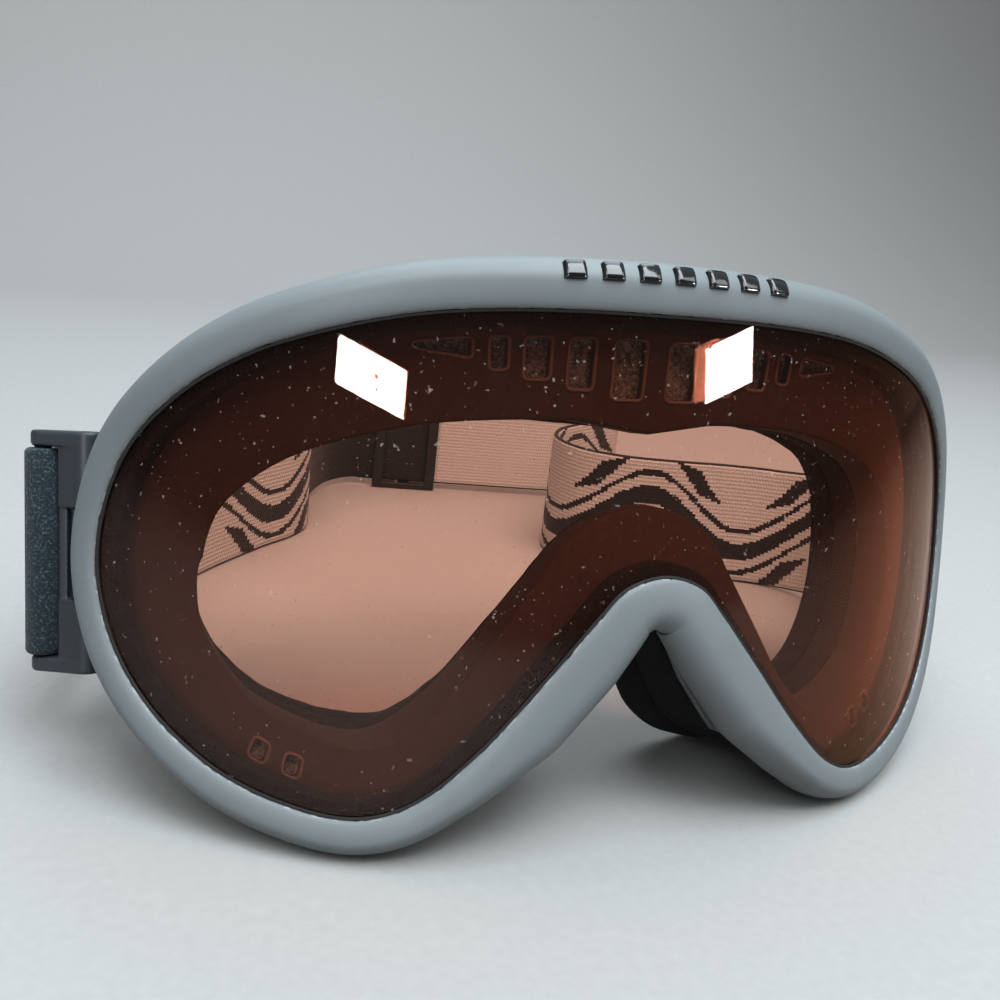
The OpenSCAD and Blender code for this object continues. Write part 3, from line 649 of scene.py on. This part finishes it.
# ---- the frame
def frame_section(key, s):
    w, d, e = lookup(PLATE_ROWS, key), flange_depth(key), lookup(FLANGE_ROWS, key)
    # small nicks along the lip, as the moulding has
    nick = 0.3 * max(0.0, math.sin(s * 23.0) * math.sin(s * 13.7) - 0.35)
    lip = [
        (-LIP + 0.25 + nick, -GROOVE), (-LIP + 0.08 + nick, -GROOVE - 0.04), (-LIP + nick, -GROOVE - 0.16),
        (-LIP + nick, -GROOVE - LIP_T + 0.1),
    ]
    swell = [rim_point(key, a) for a in np.linspace(-171, -90, 9)]
    side = [rim_point(key, a) for a in np.linspace(-82, 64, 19)]
    corners = [
        side[-1], (0.4, plate_back(key, 0.4)), (WALL_T - w, plate_back(key, WALL_T - w)),
        (WALL_T - w, d - FLANGE_T), (e, d - FLANGE_T), (e, d), (-w, d), (-w, plate_front(key, -w)),
        (GROOVE, PLATE_D), (GROOVE, -GROOVE), lip[0],
    ]
    radii = [0, 0.8, 0.7, 0.7, 0.7, 0.7, 0.6, 0.6, 0.2, 0.1, 0]
    walls = softened(corners, radii, closed=False)
    return lip + swell + side + [tuple(p) for p in walls[1:-1]]


WINDOWS = [(2.3, 8.0), (11.6, 16.2), (19.4, 24.0), (26.8, 30.0), (33.0, 44.0)]
CHEEK_WINDOWS = [(9.25, 9.5), (9.75, 10.0)]


def window_outline(s0, s1, radius):
    """Rounded outline of a vent window between two stations, as (u, z, n, key)."""
    corners = []
    for s, which in ((s0, 0), (s1, 0), (s1, 1), (s0, 1)):
        st = station(s)
        n = -lookup(VENT_TOP_ROWS, st[0]) - (lookup(VENT_LOW_ROWS, st[0]) if which else 0)
        corners.append((st[1] + n * st[3], st[2] + n * st[4], n, st[0]))
    return softened(corners, radius, 6)


def all_windows():
    """The stations that each window runs between, those of both sides."""
    right = [(2 * a / BROW_END, 2 * b / BROW_END) for a, b in WINDOWS] + CHEEK_WINDOWS
    return [w for a, b in right for w in ((a, b), (2 * LAST_KEY - b, 2 * LAST_KEY - a))]


def window_cutter(outline):
    reach = (PLATE_D - 0.5, PLATE_D + 6.0)
    points = [posed(at_depth(q[0], q[1], d)) for d in reach for q in outline]
    return solid("cutter", points, ring_faces(2, len(outline), False), None)


def round_points(count):
    """(cosine, sine) of points round a circle."""
    turns = [2 * math.pi * k / count for k in range(count)]
    return [(math.cos(a), math.sin(a)) for a in turns]


def outward(outline):
    """The unit normal at each point of a closed plan outline, pointing out of it."""
    pts = np.array(outline, float)
    before, after = np.roll(pts, 1, axis=0), np.roll(pts, -1, axis=0)
    side = 1 if np.sum(pts[:, 0] * after[:, 1] - after[:, 0] * pts[:, 1]) >= 0 else -1
    return [side * np.array((v[1], -v[0])) for v in map(unit, after - before)]


def window_rim(outline, r=0.34, sides=8):
    """A raised bead round a vent window, on the front of the plate."""
    points = []
    for q, out in zip(outline, outward([q[:2] for q in outline])):
        d = plate_front(q[3], q[2]) + 0.1
        for c, s in round_points(sides):
            p = np.array(q[:2]) + out * (0.12 + r * c)
            points.append(posed(at_depth(p[0], p[1], d + r * s)))
    return solid("bead", points, ring_faces(len(outline), sides))


def inside_edge(mesh):
    """For each face of the frame, 1 where it lies within the lens's edge and behind the lens: the
    faces that the frame's material gives painted shade.
    """
    co = np.empty(len(mesh.polygons) * 3, np.float32)
    mesh.polygons.foreach_get("center", co)
    co = co.reshape(-1, 3) * 1000 - np.array((0, 0, LIFT))
    c, s = math.cos(REST_LEAN), math.sin(REST_LEAN)
    x, y, z = co[:, 0], co[:, 1] * c - co[:, 2] * s, co[:, 1] * s + co[:, 2] * c
    depth = LENS_R - np.hypot(x, LENS_R - y)
    behind = np.arcsin(np.clip(x / (LENS_R - PLATE_D), -1, 1))
    u = LENS_R * np.where(depth < PLATE_D, np.arctan2(x, LENS_R - y), behind)
    inner = np.array([(st[1] - 0.3 * st[3], st[2] - 0.3 * st[4]) for st in RING])
    within = np.zeros(len(u), bool)
    for (au, az), (bu, bz) in zip(inner, np.roll(inner, -1, axis=0)):
        crosses = (az > z) != (bz > z)
        if az != bz:
            within ^= crosses & (u < au + (z - az) * (bu - au) / (bz - az))
    return (within & (depth > 2)).astype(np.float32)


def build_frame():
    body = edge_ring("goggle_frame", frame_section)
    count = len(body.data.vertices) // len(RING)
    lip = body.data.attributes.new("lip", "FLOAT", "POINT")
    share = np.array([0.5, 1, 1, 1, 0.5] + [0] * (count - 5), np.float32)
    lip.data.foreach_set("value", np.tile(share, len(RING)))
    outlines = [window_outline(a, b, 1.0) for a, b in all_windows()]
    cut_by(body, joined("cutters", [window_cutter(o) for o in outlines], None), 35)
    # 1 on the faces behind the lens, which get the frame's painted shade
    attribute = body.data.attributes.new("inside", "FLOAT", "FACE")
    attribute.data.foreach_set("value", inside_edge(body.data))
    dress(body, FRAME_GREY, "goggles", ["frame"])
    beads = joined("vent_window_rims", [window_rim(o) for o in outlines], 60.0)
    dress(beads, BEAD_GREY, "goggles")


build_frame()


# ---- brow bars
BARS_EACH_SIDE, BAR_W, BAR_PITCH, BAR_FROM, BAR_TURN = 3, 3.8, 6.0, -86.0, 44.0
BAR_PROUD, BAR_SUNK, BAR_FOOT = 0.7, 0.05, 0.4


def brow_point(u, n, d):
    slope = 3.2 * BROW_DROP * np.sign(u) * (abs(u) / BROW_END) ** 2.2
    v = unit(np.array((BROW_END, -slope)))
    return posed(at_depth(u - n * v[1], brow_z(u) + n * v[0], d))


def brow_bar(middle, across=10, rows=14):
    """A raised bar with its edges rounded down into the rim."""
    top, foot = [], []
    for i in range(across + 1):
        for k in range(rows + 1):
            a, b = 2 * i / across - 1, 2 * k / rows - 1
            fall = max(0.0, 1 - abs(a) ** 7 - abs(b) ** 9) ** 0.5
            u, turn = middle + a * BAR_W / 2, BAR_FROM + BAR_TURN * (b + 1) / 2
            proud = (BAR_PROUD + BAR_SUNK) * fall - BAR_SUNK
            for layer, height in ((top, proud), (foot, -BAR_FOOT)):
                layer.append(brow_point(u, *rim_point(2 * abs(u) / BROW_END, turn, height)))
    m, faces = rows + 1, []
    base = (across + 1) * m
    for i in range(across):
        for a in range(i * m, i * m + rows):
            faces.append((a, a + m, a + m + 1, a + 1))
            faces.append(tuple(base + c for c in (a, a + 1, a + m + 1, a + m)))
    rim = [i * m for i in range(across + 1)] + [across * m + k for k in range(1, m)]
    rim += [i * m + rows for i in range(across - 1, -1, -1)] + list(range(rows - 1, 0, -1))
    faces += [(a, base + a, base + b, b) for a, b in zip(rim, rim[1:] + rim[:1])]
    return solid("bar", top + foot, faces, 50.0)


bar_list = [brow_bar(i * BAR_PITCH) for i in range(-BARS_EACH_SIDE, BARS_EACH_SIDE + 1)]
dress(joined("brow_bars", bar_list, 50.0), BROW_BLACK, "goggles", ["brow_inlay"])


# ---- lenses
def lens_sheet(name, inset, d, t, pitch=2.5):
    """A cylindrical sheet cut to the edge: columns of faces that lie on the cylinder."""
    bm = bmesh.new()
    bm.faces.new([bm.verts.new((st[1] - inset * st[3], 0, st[2] - inset * st[4])) for st in RING])
    cuts = [((u, 0, 0), (1, 0, 0)) for u in np.arange(-HALF_ARC - pitch, HALF_ARC + 2 * pitch, pitch)]
    cuts += [((0, 0, z), (0, 0, 1)) for z in np.arange(-DROP, CROWN, 6.0)]
    for place, across in cuts:
        geom = bm.verts[:] + bm.edges[:] + bm.faces[:]
        bmesh.ops.bisect_plane(bm, geom=geom, plane_co=place, plane_no=across, dist=1e-7)
    bm.verts.index_update()
    flat = [(v.co.x, v.co.z) for v in bm.verts]
    polys = [[v.index for v in f.verts] for f in bm.faces]
    side = {frozenset(v.index for v in e.verts) for e in bm.edges if e.is_boundary}
    bm.free()
    count = len(flat)
    points = [posed(at_depth(u, z, depth)) for depth in (d, d + t) for u, z in flat]
    faces = [tuple(p) for p in polys] + [tuple(count + i for i in reversed(p)) for p in polys]
    for p in polys:
        for a, b in zip(p, p[1:] + p[:1]):
            if frozenset((a, b)) in side:
                faces.append((b, a, count + a, count + b))
    obj = solid(name, points, faces, None)
    mesh = obj.data
    mesh.shade_smooth()
    # exact normals of the cylinder, so that what it mirrors is smooth
    normals = []
    c, sn = math.cos(REST_LEAN), math.sin(REST_LEAN)
    for poly in mesh.polygons:
        for li in poly.loop_indices:
            i = mesh.loops[li].vertex_index
            if poly.index < 2 * len(polys):
                u = flat[i % count][0] / LENS_R
                v = np.array((math.sin(u), -math.cos(u), 0.0)) * (1 if i < count else -1)
                normals.append((v[0], v[1] * c, -v[1] * sn))
            else:
                normals.append(tuple(poly.normal))
    mesh.normals_split_custom_set(normals)
    return obj


outer = lens_sheet("outer_lens_sheet", 0.2, 0.0, OUTER_T)
dress(outer, OUTER_GLASS, "goggles", ["outer_lens"])
inner = lens_sheet("inner_lens_sheet", 0.4, OUTER_T + LENS_GAP, INNER_T)
dress(inner, INNER_GLASS, "goggles", ["inner_lens"])


def block(a, b, c, d, radius, count=4):
    """Rounded section from four (n, depth) corners."""
    return [tuple(p) for p in softened([a, b, c, d], radius, count)]


spacer = edge_ring("lens_spacer_strip", lambda key, s: block(
    (-0.4 - SPACER_W, OUTER_T + 0.02), (-0.4, OUTER_T + 0.02), (-0.4, OUTER_T + LENS_GAP - 0.02),
    (-0.4 - SPACER_W, OUTER_T + LENS_GAP - 0.02), 0.3))
dress(spacer, SPACER_FOAM, "goggles", ["lens_spacer"])
gasket = edge_ring("lens_gasket_bead", lambda key, s: block(
    (-LIP - 0.5, -GASKET_GAP), (-LIP - 0.5, -0.4), (-LIP - 0.02, -0.6), (-LIP - 0.02, -GASKET_GAP), 0.2))
dress(gasket, GASKET_BLACK, "goggles", ["lens_gasket"])


# ---- foams
INNER_SLOPE = [(11.5, 0.02), (12.5, 0.35), (14, 0.42), (15.5, 0.4), (17, 0.36)]
OUTER_SLOPE = [(11.5, 0), (12.3, 0.3), (13, 0.52), (14, 0.5), (14.8, 0.28), (15.5, 0.1), (17, 0)]


def above_floor(s, n, d, clear=0.3):
    """n, or less where that would put the foam into the floor."""
    st = station(s)
    z = posed(edge_point(st, n, d))[2]
    return n if z >= clear or st[4] >= 0 else n + (clear - z) / (st[4] * math.cos(REST_LEAN))


def foam_section(key, s, d0, d1, draw0, draw1, radius, swell):
    a, b = -eased(PLATE_ROWS, key), eased(FLANGE_ROWS, key) + FOAM_OVERHANG
    d, si, so = flange_depth(key), eased(INNER_SLOPE, key), eased(OUTER_SLOPE, key)
    corners = []
    for depth, draw in ((d0, draw0), (d1, draw1)):
        outer_n = above_floor(s, b - draw + so * depth, d + depth)
        corners += [np.array((a + draw + si * depth, d + depth)), np.array((outer_n, d + depth))]
    p0, p1, p3, p2 = corners
    if swell == 0:
        return block(p0, p1, p2, p3, radius, 5)
    ripple = 1 + 0.25 * math.sin(s * 5.1) + 0.18 * math.sin(s * 11.7 + 1.0)
    push = np.array((swell * ripple, 0.0))
    outline = [p0, p1, (p1 + p2) / 2 + push, p2, p3, (p3 + p0) / 2 - push]
    return [tuple(p) for p in softened(outline, [radius, radius, 3, radius, radius, 3], 4)]


def foam(name, mat, slot, node, fill, *shape):
    o = edge_ring(name, lambda key, s: foam_section(key, s, *shape), 60.0)
    dress(o, mat, "goggles", [node])


FACE_D = FIRM_T + SOFT_T
foam("firm_face_foam", FIRM_FOAM, "face_foam_firm", "face_foam_firm", 0.9,
     0.05, FIRM_T, 0, FIRM_DRAW, 0.8, 0.25)
foam("soft_face_foam", SOFT_FOAM, "face_foam_soft", "face_foam_soft", 0.7,
     FIRM_T, FACE_D, FIRM_DRAW, SOFT_DRAW, 1.6, 0.5)
foam("face_fleece_layer", FLEECE, "fleece_black", "face_fleece", 0.5,
     FACE_D - 0.3, FACE_D + FLEECE_T, 1.2, 2.2, 1.2, 0.0)


def vent_foam(name, node, s_list, low):
    def section(key, s):
        top = 1 - lookup(VENT_TOP_ROWS, key)
        (front, back), (low_front, low_back) = (
            (plate_back(key, n) + 0.1, plate_back(key, n) + VENT_FOAM_T) for n in (top, low))
        return block((top, front), (top, back), (low, low_back), (low, low_front), 0.5)

    o = edge_ring(name, section, s_list=s_list)
    dress(o, VENT_FOAM, "goggles", [node])


TOP_FOAM_KEY, CHEEK_FOAM, CHEEK_FOAM_LOW = 2 * 44 / BROW_END, np.linspace(9, 10, 14), -3.0 - 3.4 - 1
vent_foam("top_vent_filter", "top_vent_foam", np.linspace(-TOP_FOAM_KEY, TOP_FOAM_KEY, 90),
          -VENT_INSET - VENT_H - 1)
vent_foam("lower_vent_filter_right", "lower_vent_foam_right", CHEEK_FOAM, CHEEK_FOAM_LOW)
vent_foam("lower_vent_filter_left", "lower_vent_foam_left", 2 * LAST_KEY - CHEEK_FOAM[::-1],
          CHEEK_FOAM_LOW)


# ---- webbing
def lengths(feet, ups):
    """The length of each step along the middle of a band."""
    return np.linalg.norm(np.diff(np.array(feet, float) + np.array(ups, float) / 2, axis=0), axis=1)


def ribbon(name, feet, ups, start=0.0):
    """A woven band on edge. feet are points of its lower edge in millimetres in the row frame, ups
    the vectors to its upper edge. It carries strap_place: along and across in millimetres, and side."""
    feet, ups = np.array(feet, float), np.array(ups, float)
    count = len(feet)
    run = np.concatenate([[0], np.cumsum(lengths(feet, ups))]) + start
    width = float(np.linalg.norm(ups[0]))
    across = [0.0, 0.25, 0.7, *np.linspace(0, width, 25)[1:-1], width - 0.7, width - 0.25, width]
    across = sorted(set(round(a, 3) for a in across))
    # thinner towards its two edges
    thin = [0.72 if min(a, width - a) < 0.3 else 1.0 for a in across]
    thin[0] = thin[-1] = 0.3
    profile = [(a, STRAP_T / 2 * share, 1) for a, share in zip(across, thin)]
    profile += [(a, -h, -1) for a, h, _ in reversed(profile)]
    points, place = [], []
    for i in range(count):
        v = feet[min(i + 1, count - 1)] - feet[max(i - 1, 0)]
        up = unit(ups[i])
        side = unit(np.cross(up, v))
        for a, h, face in profile:
            points.append(feet[i] + up * a + side * h)
            place.append((run[i], a, float(face)))
    obj = solid(name, points, ring_faces(count, len(profile), False), 50.0)
    attribute = obj.data.attributes.new("strap_place", "FLOAT_VECTOR", "POINT")
    attribute.data.foreach_set("vector", np.array(place, np.float32).ravel())
    return obj, run[-1] - run[0], width


TEMPLE_KEY, HINGE_OUT, HINGE_BACK, ARM_TURN = 6, 4.6, 7.2, math.radians(155)
TEMPLE = edge_point(station(TEMPLE_KEY), 0, plate_back(TEMPLE_KEY, 0))
HINGE = np.array((-TEMPLE[0] - HINGE_OUT, TEMPLE[1] + HINGE_BACK))
BAR = HINGE + ARM_REACH * np.array((math.cos(ARM_TURN), math.sin(ARM_TURN)))
HEADING = {"left": math.radians(17), "right": math.radians(-14)}
SIGN = {"left": -1.0, "right": 1.0}


def loop_tail(side, past):
    a, reach, sign = HEADING[side], LOOP_L + past, SIGN[side]
    p = posed((-sign * (BAR[0] + reach * math.sin(a)), BAR[1] + reach * math.cos(a), -STRAP_W / 2))
    return np.array((p[0], p[1], p[2], math.degrees(REST_LEAN)))


STRAIGHT, STRAIGHT_A = np.array((0.0, 207.0)), math.radians(-12)
SLIDER_LIFT = 2.3
STRAIGHT_L = SLIDER_L + SLIDER_TRAVEL + 15


def straight_point(s):
    along = STRAIGHT + s * np.array((math.cos(STRAIGHT_A), math.sin(STRAIGHT_A)))
    return np.array((*along, SLIDER_LIFT, 0))


# points of the strap's lower edge, x, y and z, and the degrees it leans by there
ROUTE = [np.array(p, float) for p in (
    loop_tail("left", -0.9), loop_tail("left", 8), (-80, 98, 4.5, 6), (-66, 122, 0, 0), (-48, 142, 0, 0),
    (-36, 153, 0, 0), (-30.5, 162, 0, 0), (-29, 174, 0, 0), (-26, 188, 1, 0), (-18, 202, 2, 0),
    *map(straight_point, (-8, 0, STRAIGHT_L / 2, STRAIGHT_L, STRAIGHT_L + 8)),
    (74, 188.5, 2, 0), (79, 180, 0, 0), (76, 171, 0, 0), (67, 165.5, 0, 0), (56, 159, 0, 0),
    (46, 151, 0, 0), (41, 140, 0, 0), (44, 128, 0, 0), (54, 120, 0, 0), (68, 115.5, 0, 0),
    (84, 112, 0, 0), (98, 106.5, 0, 0), (106, 96, 1.5, 2), (107, 82, 5, 7), loop_tail("right", 8),
    loop_tail("right", -0.9),
)]
RUN_LEFT_END, RUN_RIGHT_START = 3, 26
DARK_FROM, SLIDER_AT, DESIGN_AGAIN = 6, 11, 17


ROUTE_AND_ENDS = [2 * ROUTE[0] - ROUTE[1], *ROUTE, 2 * ROUTE[-1] - ROUTE[-2]]


def strap_stretch(first, last, steps=12):
    """The feet and ups of the strap between two points of the route."""
    rows = [curve(*ROUTE_AND_ENDS[i:i + 4], k / steps) for i in range(first, last) for k in range(steps)]
    rows.append(ROUTE[last])
    leans = [math.radians(p[3]) for p in rows]
    ups = [STRAP_W * np.array((0, math.sin(a), math.cos(a))) for a in leans]
    return [(p[0], p[1], max(p[2], 0.0)) for p in rows], ups


def run_at(index):
    """Distance along the strap, in millimetres, of a point of the route."""
    return float(lengths(*strap_stretch(0, index)).sum())


ROUTE_END = len(ROUTE) - 1
WEBBING = strap_webbing(
    [(-5.0, run_at(DARK_FROM)), (run_at(DESIGN_AGAIN) - 4, run_at(ROUTE_END) + 5)],
    (run_at(DARK_FROM), run_at(SLIDER_AT) + SLIDER_L),
)


def strap_piece(name, node, first, last, body=None):
    obj, length, width = ribbon(name, *strap_stretch(first, last), run_at(first) if first else 0.0)
    dress(obj, WEBBING, body, [node])
    width * 0.001
    length * 0.001
    return obj


left_run = strap_piece("strap_left_run", "strap_run_left", 0, RUN_LEFT_END)
strap_piece("strap_back_band", "strap_back", RUN_LEFT_END, RUN_RIGHT_START, "goggles")
right_run = strap_piece("strap_right_run", "strap_run_right", RUN_RIGHT_START, ROUTE_END)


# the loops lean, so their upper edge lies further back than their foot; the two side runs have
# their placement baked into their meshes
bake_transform(left_run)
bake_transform(right_run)


# ---- outriggers
def prism(outline, z0, z1, to_row, round_=0.3):
    """A plate with softened edges from a plan outline."""
    turn = [math.pi / 2 * k / 3 for k in range(4)]
    rows = [(z0 + round_ * (1 - math.cos(a)), round_ * (1 - math.sin(a))) for a in turn]
    rows += [(z0 + z1 - z, inset) for z, inset in reversed(rows)]
    pairs = list(zip(np.array(outline, float), outward(outline)))
    points = [to_row(*(p - v * inset), z) for z, inset in rows for p, v in pairs]
    return solid("plate", points, ring_faces(len(rows), len(outline), False))


def circle(x, y, r, a0=0.0, a1=360.0, count=28):
    return [(x + r * math.cos(math.radians(a)), y + r * math.sin(math.radians(a)))
            for a in np.linspace(a0, a1, count, endpoint=a1 - a0 < 360)]


SLOT_H = STRAP_W + 0.8
OUTRIGGER_H = SLOT_H + 5.4
ARM_H = (OUTRIGGER_H - SLOT_H) / 2
KNUCKLE_GAP, RIB_R = 0.3, 0.28


def build_outrigger(side):
    sign = -SIGN[side]

    def to_row(x, y, z):
        c, s = math.cos(ARM_TURN), math.sin(ARM_TURN)
        px, py = HINGE[0] + x * c - y * s, HINGE[1] + x * s + y * c
        return posed((px * sign, py, z))

    half, r_b = OUTRIGGER_H / 2, BARREL_D / 2
    arm = circle(ARM_REACH, 0, BAR_D / 2 + 0.7, -80, 80, 14) + circle(0, 0, r_b, 84, 276, 20)
    plate = [(4.6, -1.7), (4.6, 1.7)] + circle(0, 0, r_b, 60, 300, 22)
    web = [(2.9, -1.5), (4.5, -1.5), (4.5, 1.5), (2.9, 1.5)]
    barrel_in = KNUCKLE_H / 2 + KNUCKLE_GAP
    shells = []
    for end in (-1, 1):
        z = sorted((end * half, end * (half - ARM_H)))
        shells.append(prism(arm, z[0], z[1], to_row, 0.5))
        z = sorted((end * (half - 0.2), end * barrel_in))
        shells.append(prism(plate, z[0], z[1], to_row, 0.3))
    shells.append(prism(web, -half + 1, half - 1, to_row, 0.2))
    shells.append(prism(circle(ARM_REACH, 0, BAR_D / 2), -half + 0.6, half - 0.6, to_row, 0.2))
    # two curved ribs on the front of the upper plate, as the moulding has
    for start in (0.0, 0.9):
        rib, n = [], 18
        for i in range(n):
            t = i / (n - 1)
            x, z = 3.9 - start - 2.9 * t * t, half - 1.2 - start * 0.8 - 13.0 * t
            rib += [to_row(x + RIB_R * c, -1.72 - 0.55 * t + RIB_R * s, z) for c, s in round_points(8)]
        shells.append(solid("rib", rib, ring_faces(n, 8, False)))
    o = fused(joined(f"outrigger_{side}_bracket", shells), 0.24, 3)
    bore = circle(0, 0, PIN_D / 2 + 0.05)
    points = [to_row(x, y, z) for z in (-half - 1, half + 1) for x, y in bore]
    cut_by(o, solid("bore", points, ring_faces(2, len(bore), False), None), 50)
    dress(o, OUTRIGGER_GREY, f"outrigger_{side}", [f"outrigger_{side}"])


def loop_path(side):
    """Centre line of the webbing round the bar, in plan: x across, y down the tail."""
    r = BAR_D / 2 + 0.2 + STRAP_T / 2
    off = STRAP_T / 2 + 0.02
    tail = [(off, LOOP_L - k) for k in (0.0, 1.7, 3.3, 5.0)]
    neck = []
    for k in range(1, 9):
        t = k / 9
        w = t * t * (3 - 2 * t)
        neck.append((off + (r - off) * w, LOOP_L - 5.0 - (LOOP_L - 5.0) * t))
    bend = [(r * math.cos(a), r * math.sin(a)) for a in np.linspace(0, -math.pi, 22)]
    half = tail + neck
    return half + bend + [(-x, y) for x, y in reversed(half)]


STITCH_L, STITCH_PITCH, ROW_PITCH = 1.5, 2.0, 1.2


def build_loop(side):
    sign, a = -SIGN[side], -HEADING[side]
    c, s = math.cos(a), math.sin(a)

    def to_row(x, y, z):
        return posed(((BAR[0] + x * c - y * s) * sign, BAR[1] + x * s + y * c, z))

    path = loop_path(side)
    feet = [to_row(x, y, -STRAP_W / 2) for x, y in path]
    up = posed((0, 0, STRAP_W)) - posed((0, 0, 0))
    obj, length, width = ribbon(f"strap_loop_{side}_webbing", feet, [up] * len(feet))
    dress(obj, LOOP_WEBBING, f"outrigger_{side}", [f"strap_loop_{side}"])
    width * 0.001
    length * 0.001
    # stitches: short rounded threads in three rows on each face of the tail
    points, faces = [], []
    for face, row in ((face, row) for face in (-1, 1) for row in range(3)):
        y = LOOP_L - 1.5 - ROW_PITCH * row
        z = -STRAP_W / 2 + 1.6 + 0.6 * (row % 2)
        while z < STRAP_W / 2 - 2.2:
            faces += [tuple(len(points) + i for i in f) for f in ring_faces(7, 6, False)]
            for t in (k / 6 for k in range(7)):
                off = STRAP_T + 0.02 + 0.30 * math.sin(math.pi * t)
                points += [to_row(face * (off + 0.2 * c), y + 0.24 * s, z + STITCH_L * t)
                           for c, s in round_points(6)]
            z += STITCH_PITCH
    o = solid(f"loop_{side}_stitches", points, faces)
    dress(o, THREAD, f"outrigger_{side}", [f"loop_stitching_{side}"])


for side in ("left", "right"):
    build_outrigger(side)
    build_loop(side)


# ---- hard parts that keep their CAD shape
def softer_edges(node, mat, width):
    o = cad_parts[node]
    o.data.materials.clear()
    o.data.materials.append(mat)
    o.modifiers.new("weld", "WELD").merge_threshold = 1e-6
    bevel = o.modifiers.new("bevel", "BEVEL")
    bevel.width, bevel.segments = width * 0.001, 3
    bevel.limit_method, bevel.angle_limit = "ANGLE", math.radians(40)


PIN_STEEL = brushed_pin()
softer_edges("strap_slider", SLIDER_BLACK, 0.5)
for side in ("left", "right"):
    softer_edges(f"hinge_lug_{side}", OUTRIGGER_GREY, 0.3)
    softer_edges(f"hinge_pin_{side}", PIN_STEEL, 0.2)


# ---- floor, light, camera
def floor():
    """A plain pale sweep: a floor that curves up into a backdrop."""
    n = surface("floor")
    fine = n.noise(n.place(), 500.0, 3.0)
    pale = n.ramp(fine, [(0.3, srgb(173, 172, 170)), (0.7, srgb(178, 177, 175))])
    # seen as pale, also in gloss and glass, but it throws less light back up at the object
    kinds = ("Camera", "Glossy", "Transmission")
    rays = [n.add("ShaderNodeLightPath", {}, f"Is {kind} Ray") for kind in kinds]
    seen = rays[0].most(rays[1]).most(rays[2])
    n.set(Base_Color=n.mix(seen, srgb(100, 92, 85), pale), Roughness=0.85)
    back, r, w = 0.7, 0.5, 3.0
    side = [(-2.5, 0.0), (back, 0.0)]
    side += [(back + r * math.sin(a), r - r * math.cos(a)) for a in np.linspace(0, math.pi / 2, 24)[1:]]
    side += [(back + r, 2.6)]
    points = [(x, y, z) for y, z in side for x in (-w, w)]
    faces = [(2 * i, 2 * i + 1, 2 * i + 3, 2 * i + 2) for i in range(len(side) - 1)]
    mesh = bpy.data.meshes.new("floor")
    mesh.from_pydata(points, [], faces)
    mesh.shade_smooth()
    mesh.materials.append(n.owner)
    o = linked("floor", mesh)
    o.location.z = -0.0002


def studio():
    """Soft light from behind and above, dim in front, so that the lens mirrors little."""
    n = Nodes(bpy.data.worlds.new("studio"), "Background")
    _, y, z = n.parts(n.place("Generated"))
    sky = n.ramp(z * 0.45 + (y * 0.5 + 0.18), [(0.05, (0.15, 0.15, 0.155, 1)), (0.9, (0.62, 0.70, 0.76, 1))])
    bpy.context.scene.world = n.set(Color=sky, Strength=0.75)


floor()
studio()

CAM = Vector((-0.0812, -0.1313, 0.1030))
AZIMUTH, ELEVATION, ROLL = math.radians(20.43), math.radians(5.46), math.radians(2.26)


def photo_camera():
    """The camera, placed in the goggles' own frame and leaned with them."""
    x, y, flat = math.sin(AZIMUTH), math.cos(AZIMUTH), math.cos(ELEVATION)
    ahead, right = Vector((x * flat, y * flat, -math.sin(ELEVATION))), Vector((y, -x, 0))
    up = right.cross(ahead)
    c, s = math.cos(ROLL), math.sin(ROLL)
    axes = Matrix((right * c + up * s, up * c - right * s, -ahead)).transposed()
    data = bpy.data.cameras.new("photo_view")
    data.lens, data.sensor_width = 36.0, 36.0
    data.clip_start, data.clip_end = 0.01, 20
    cam = linked("photo_view", data)
    cam.matrix_world = Matrix.Translation(CAM) @ (Matrix.Rotation(-REST_LEAN, 3, "X") @ axes).to_4x4()
    bpy.context.scene.camera = cam


photo_camera()


def lamp(name, place, target, size, power, colour=(1, 1, 1), size_y=None, roll=0.0):
    data = bpy.data.lights.new(name, "AREA")
    data.energy, data.color = power, colour
    data.shape, data.size, data.size_y = "RECTANGLE", size, size_y or size
    o = linked(name, data)
    o.location = place
    o.rotation_mode = "QUATERNION"
    aim = (Vector(target) - Vector(place)).to_track_quat("-Z", "Y")
    o.rotation_quaternion = aim @ Quaternion((0, 0, 1), math.radians(roll))
    return o


lamp("key", (-0.75, -0.65, 1.1), (0, 0.05, 0.04), 0.6, 5.0, (0.94, 0.98, 1.0))
lamp("fill", (0.85, -0.65, 1.0), (0, 0.05, 0.04), 0.5, 2.4)
lamp("top", (0.1, 0.6, 1.2), (0, 0.1, 0.0), 1.0, 9.0, (0.86, 0.94, 1.0))
lamp("overhead", (0.05, -0.3, 0.95), (0, 0.08, 0.05), 0.7, 12.0, (0.86, 0.95, 1.0))
# two small soft boxes in front, which only gloss and the lens show
for panel in (
    lamp("left_panel", (-0.637, -0.991, 0.316), (-0.047, 0.015, 0.075), 0.29, 3.7, size_y=0.066, roll=-3),
    lamp("right_panel", (0.803, -0.850, 0.320), (0.010, 0.008, 0.081), 0.23, 3.3, size_y=0.074),
):
    panel.visible_diffuse = False

bpy.context.scene.view_settings.view_transform = "Standard"
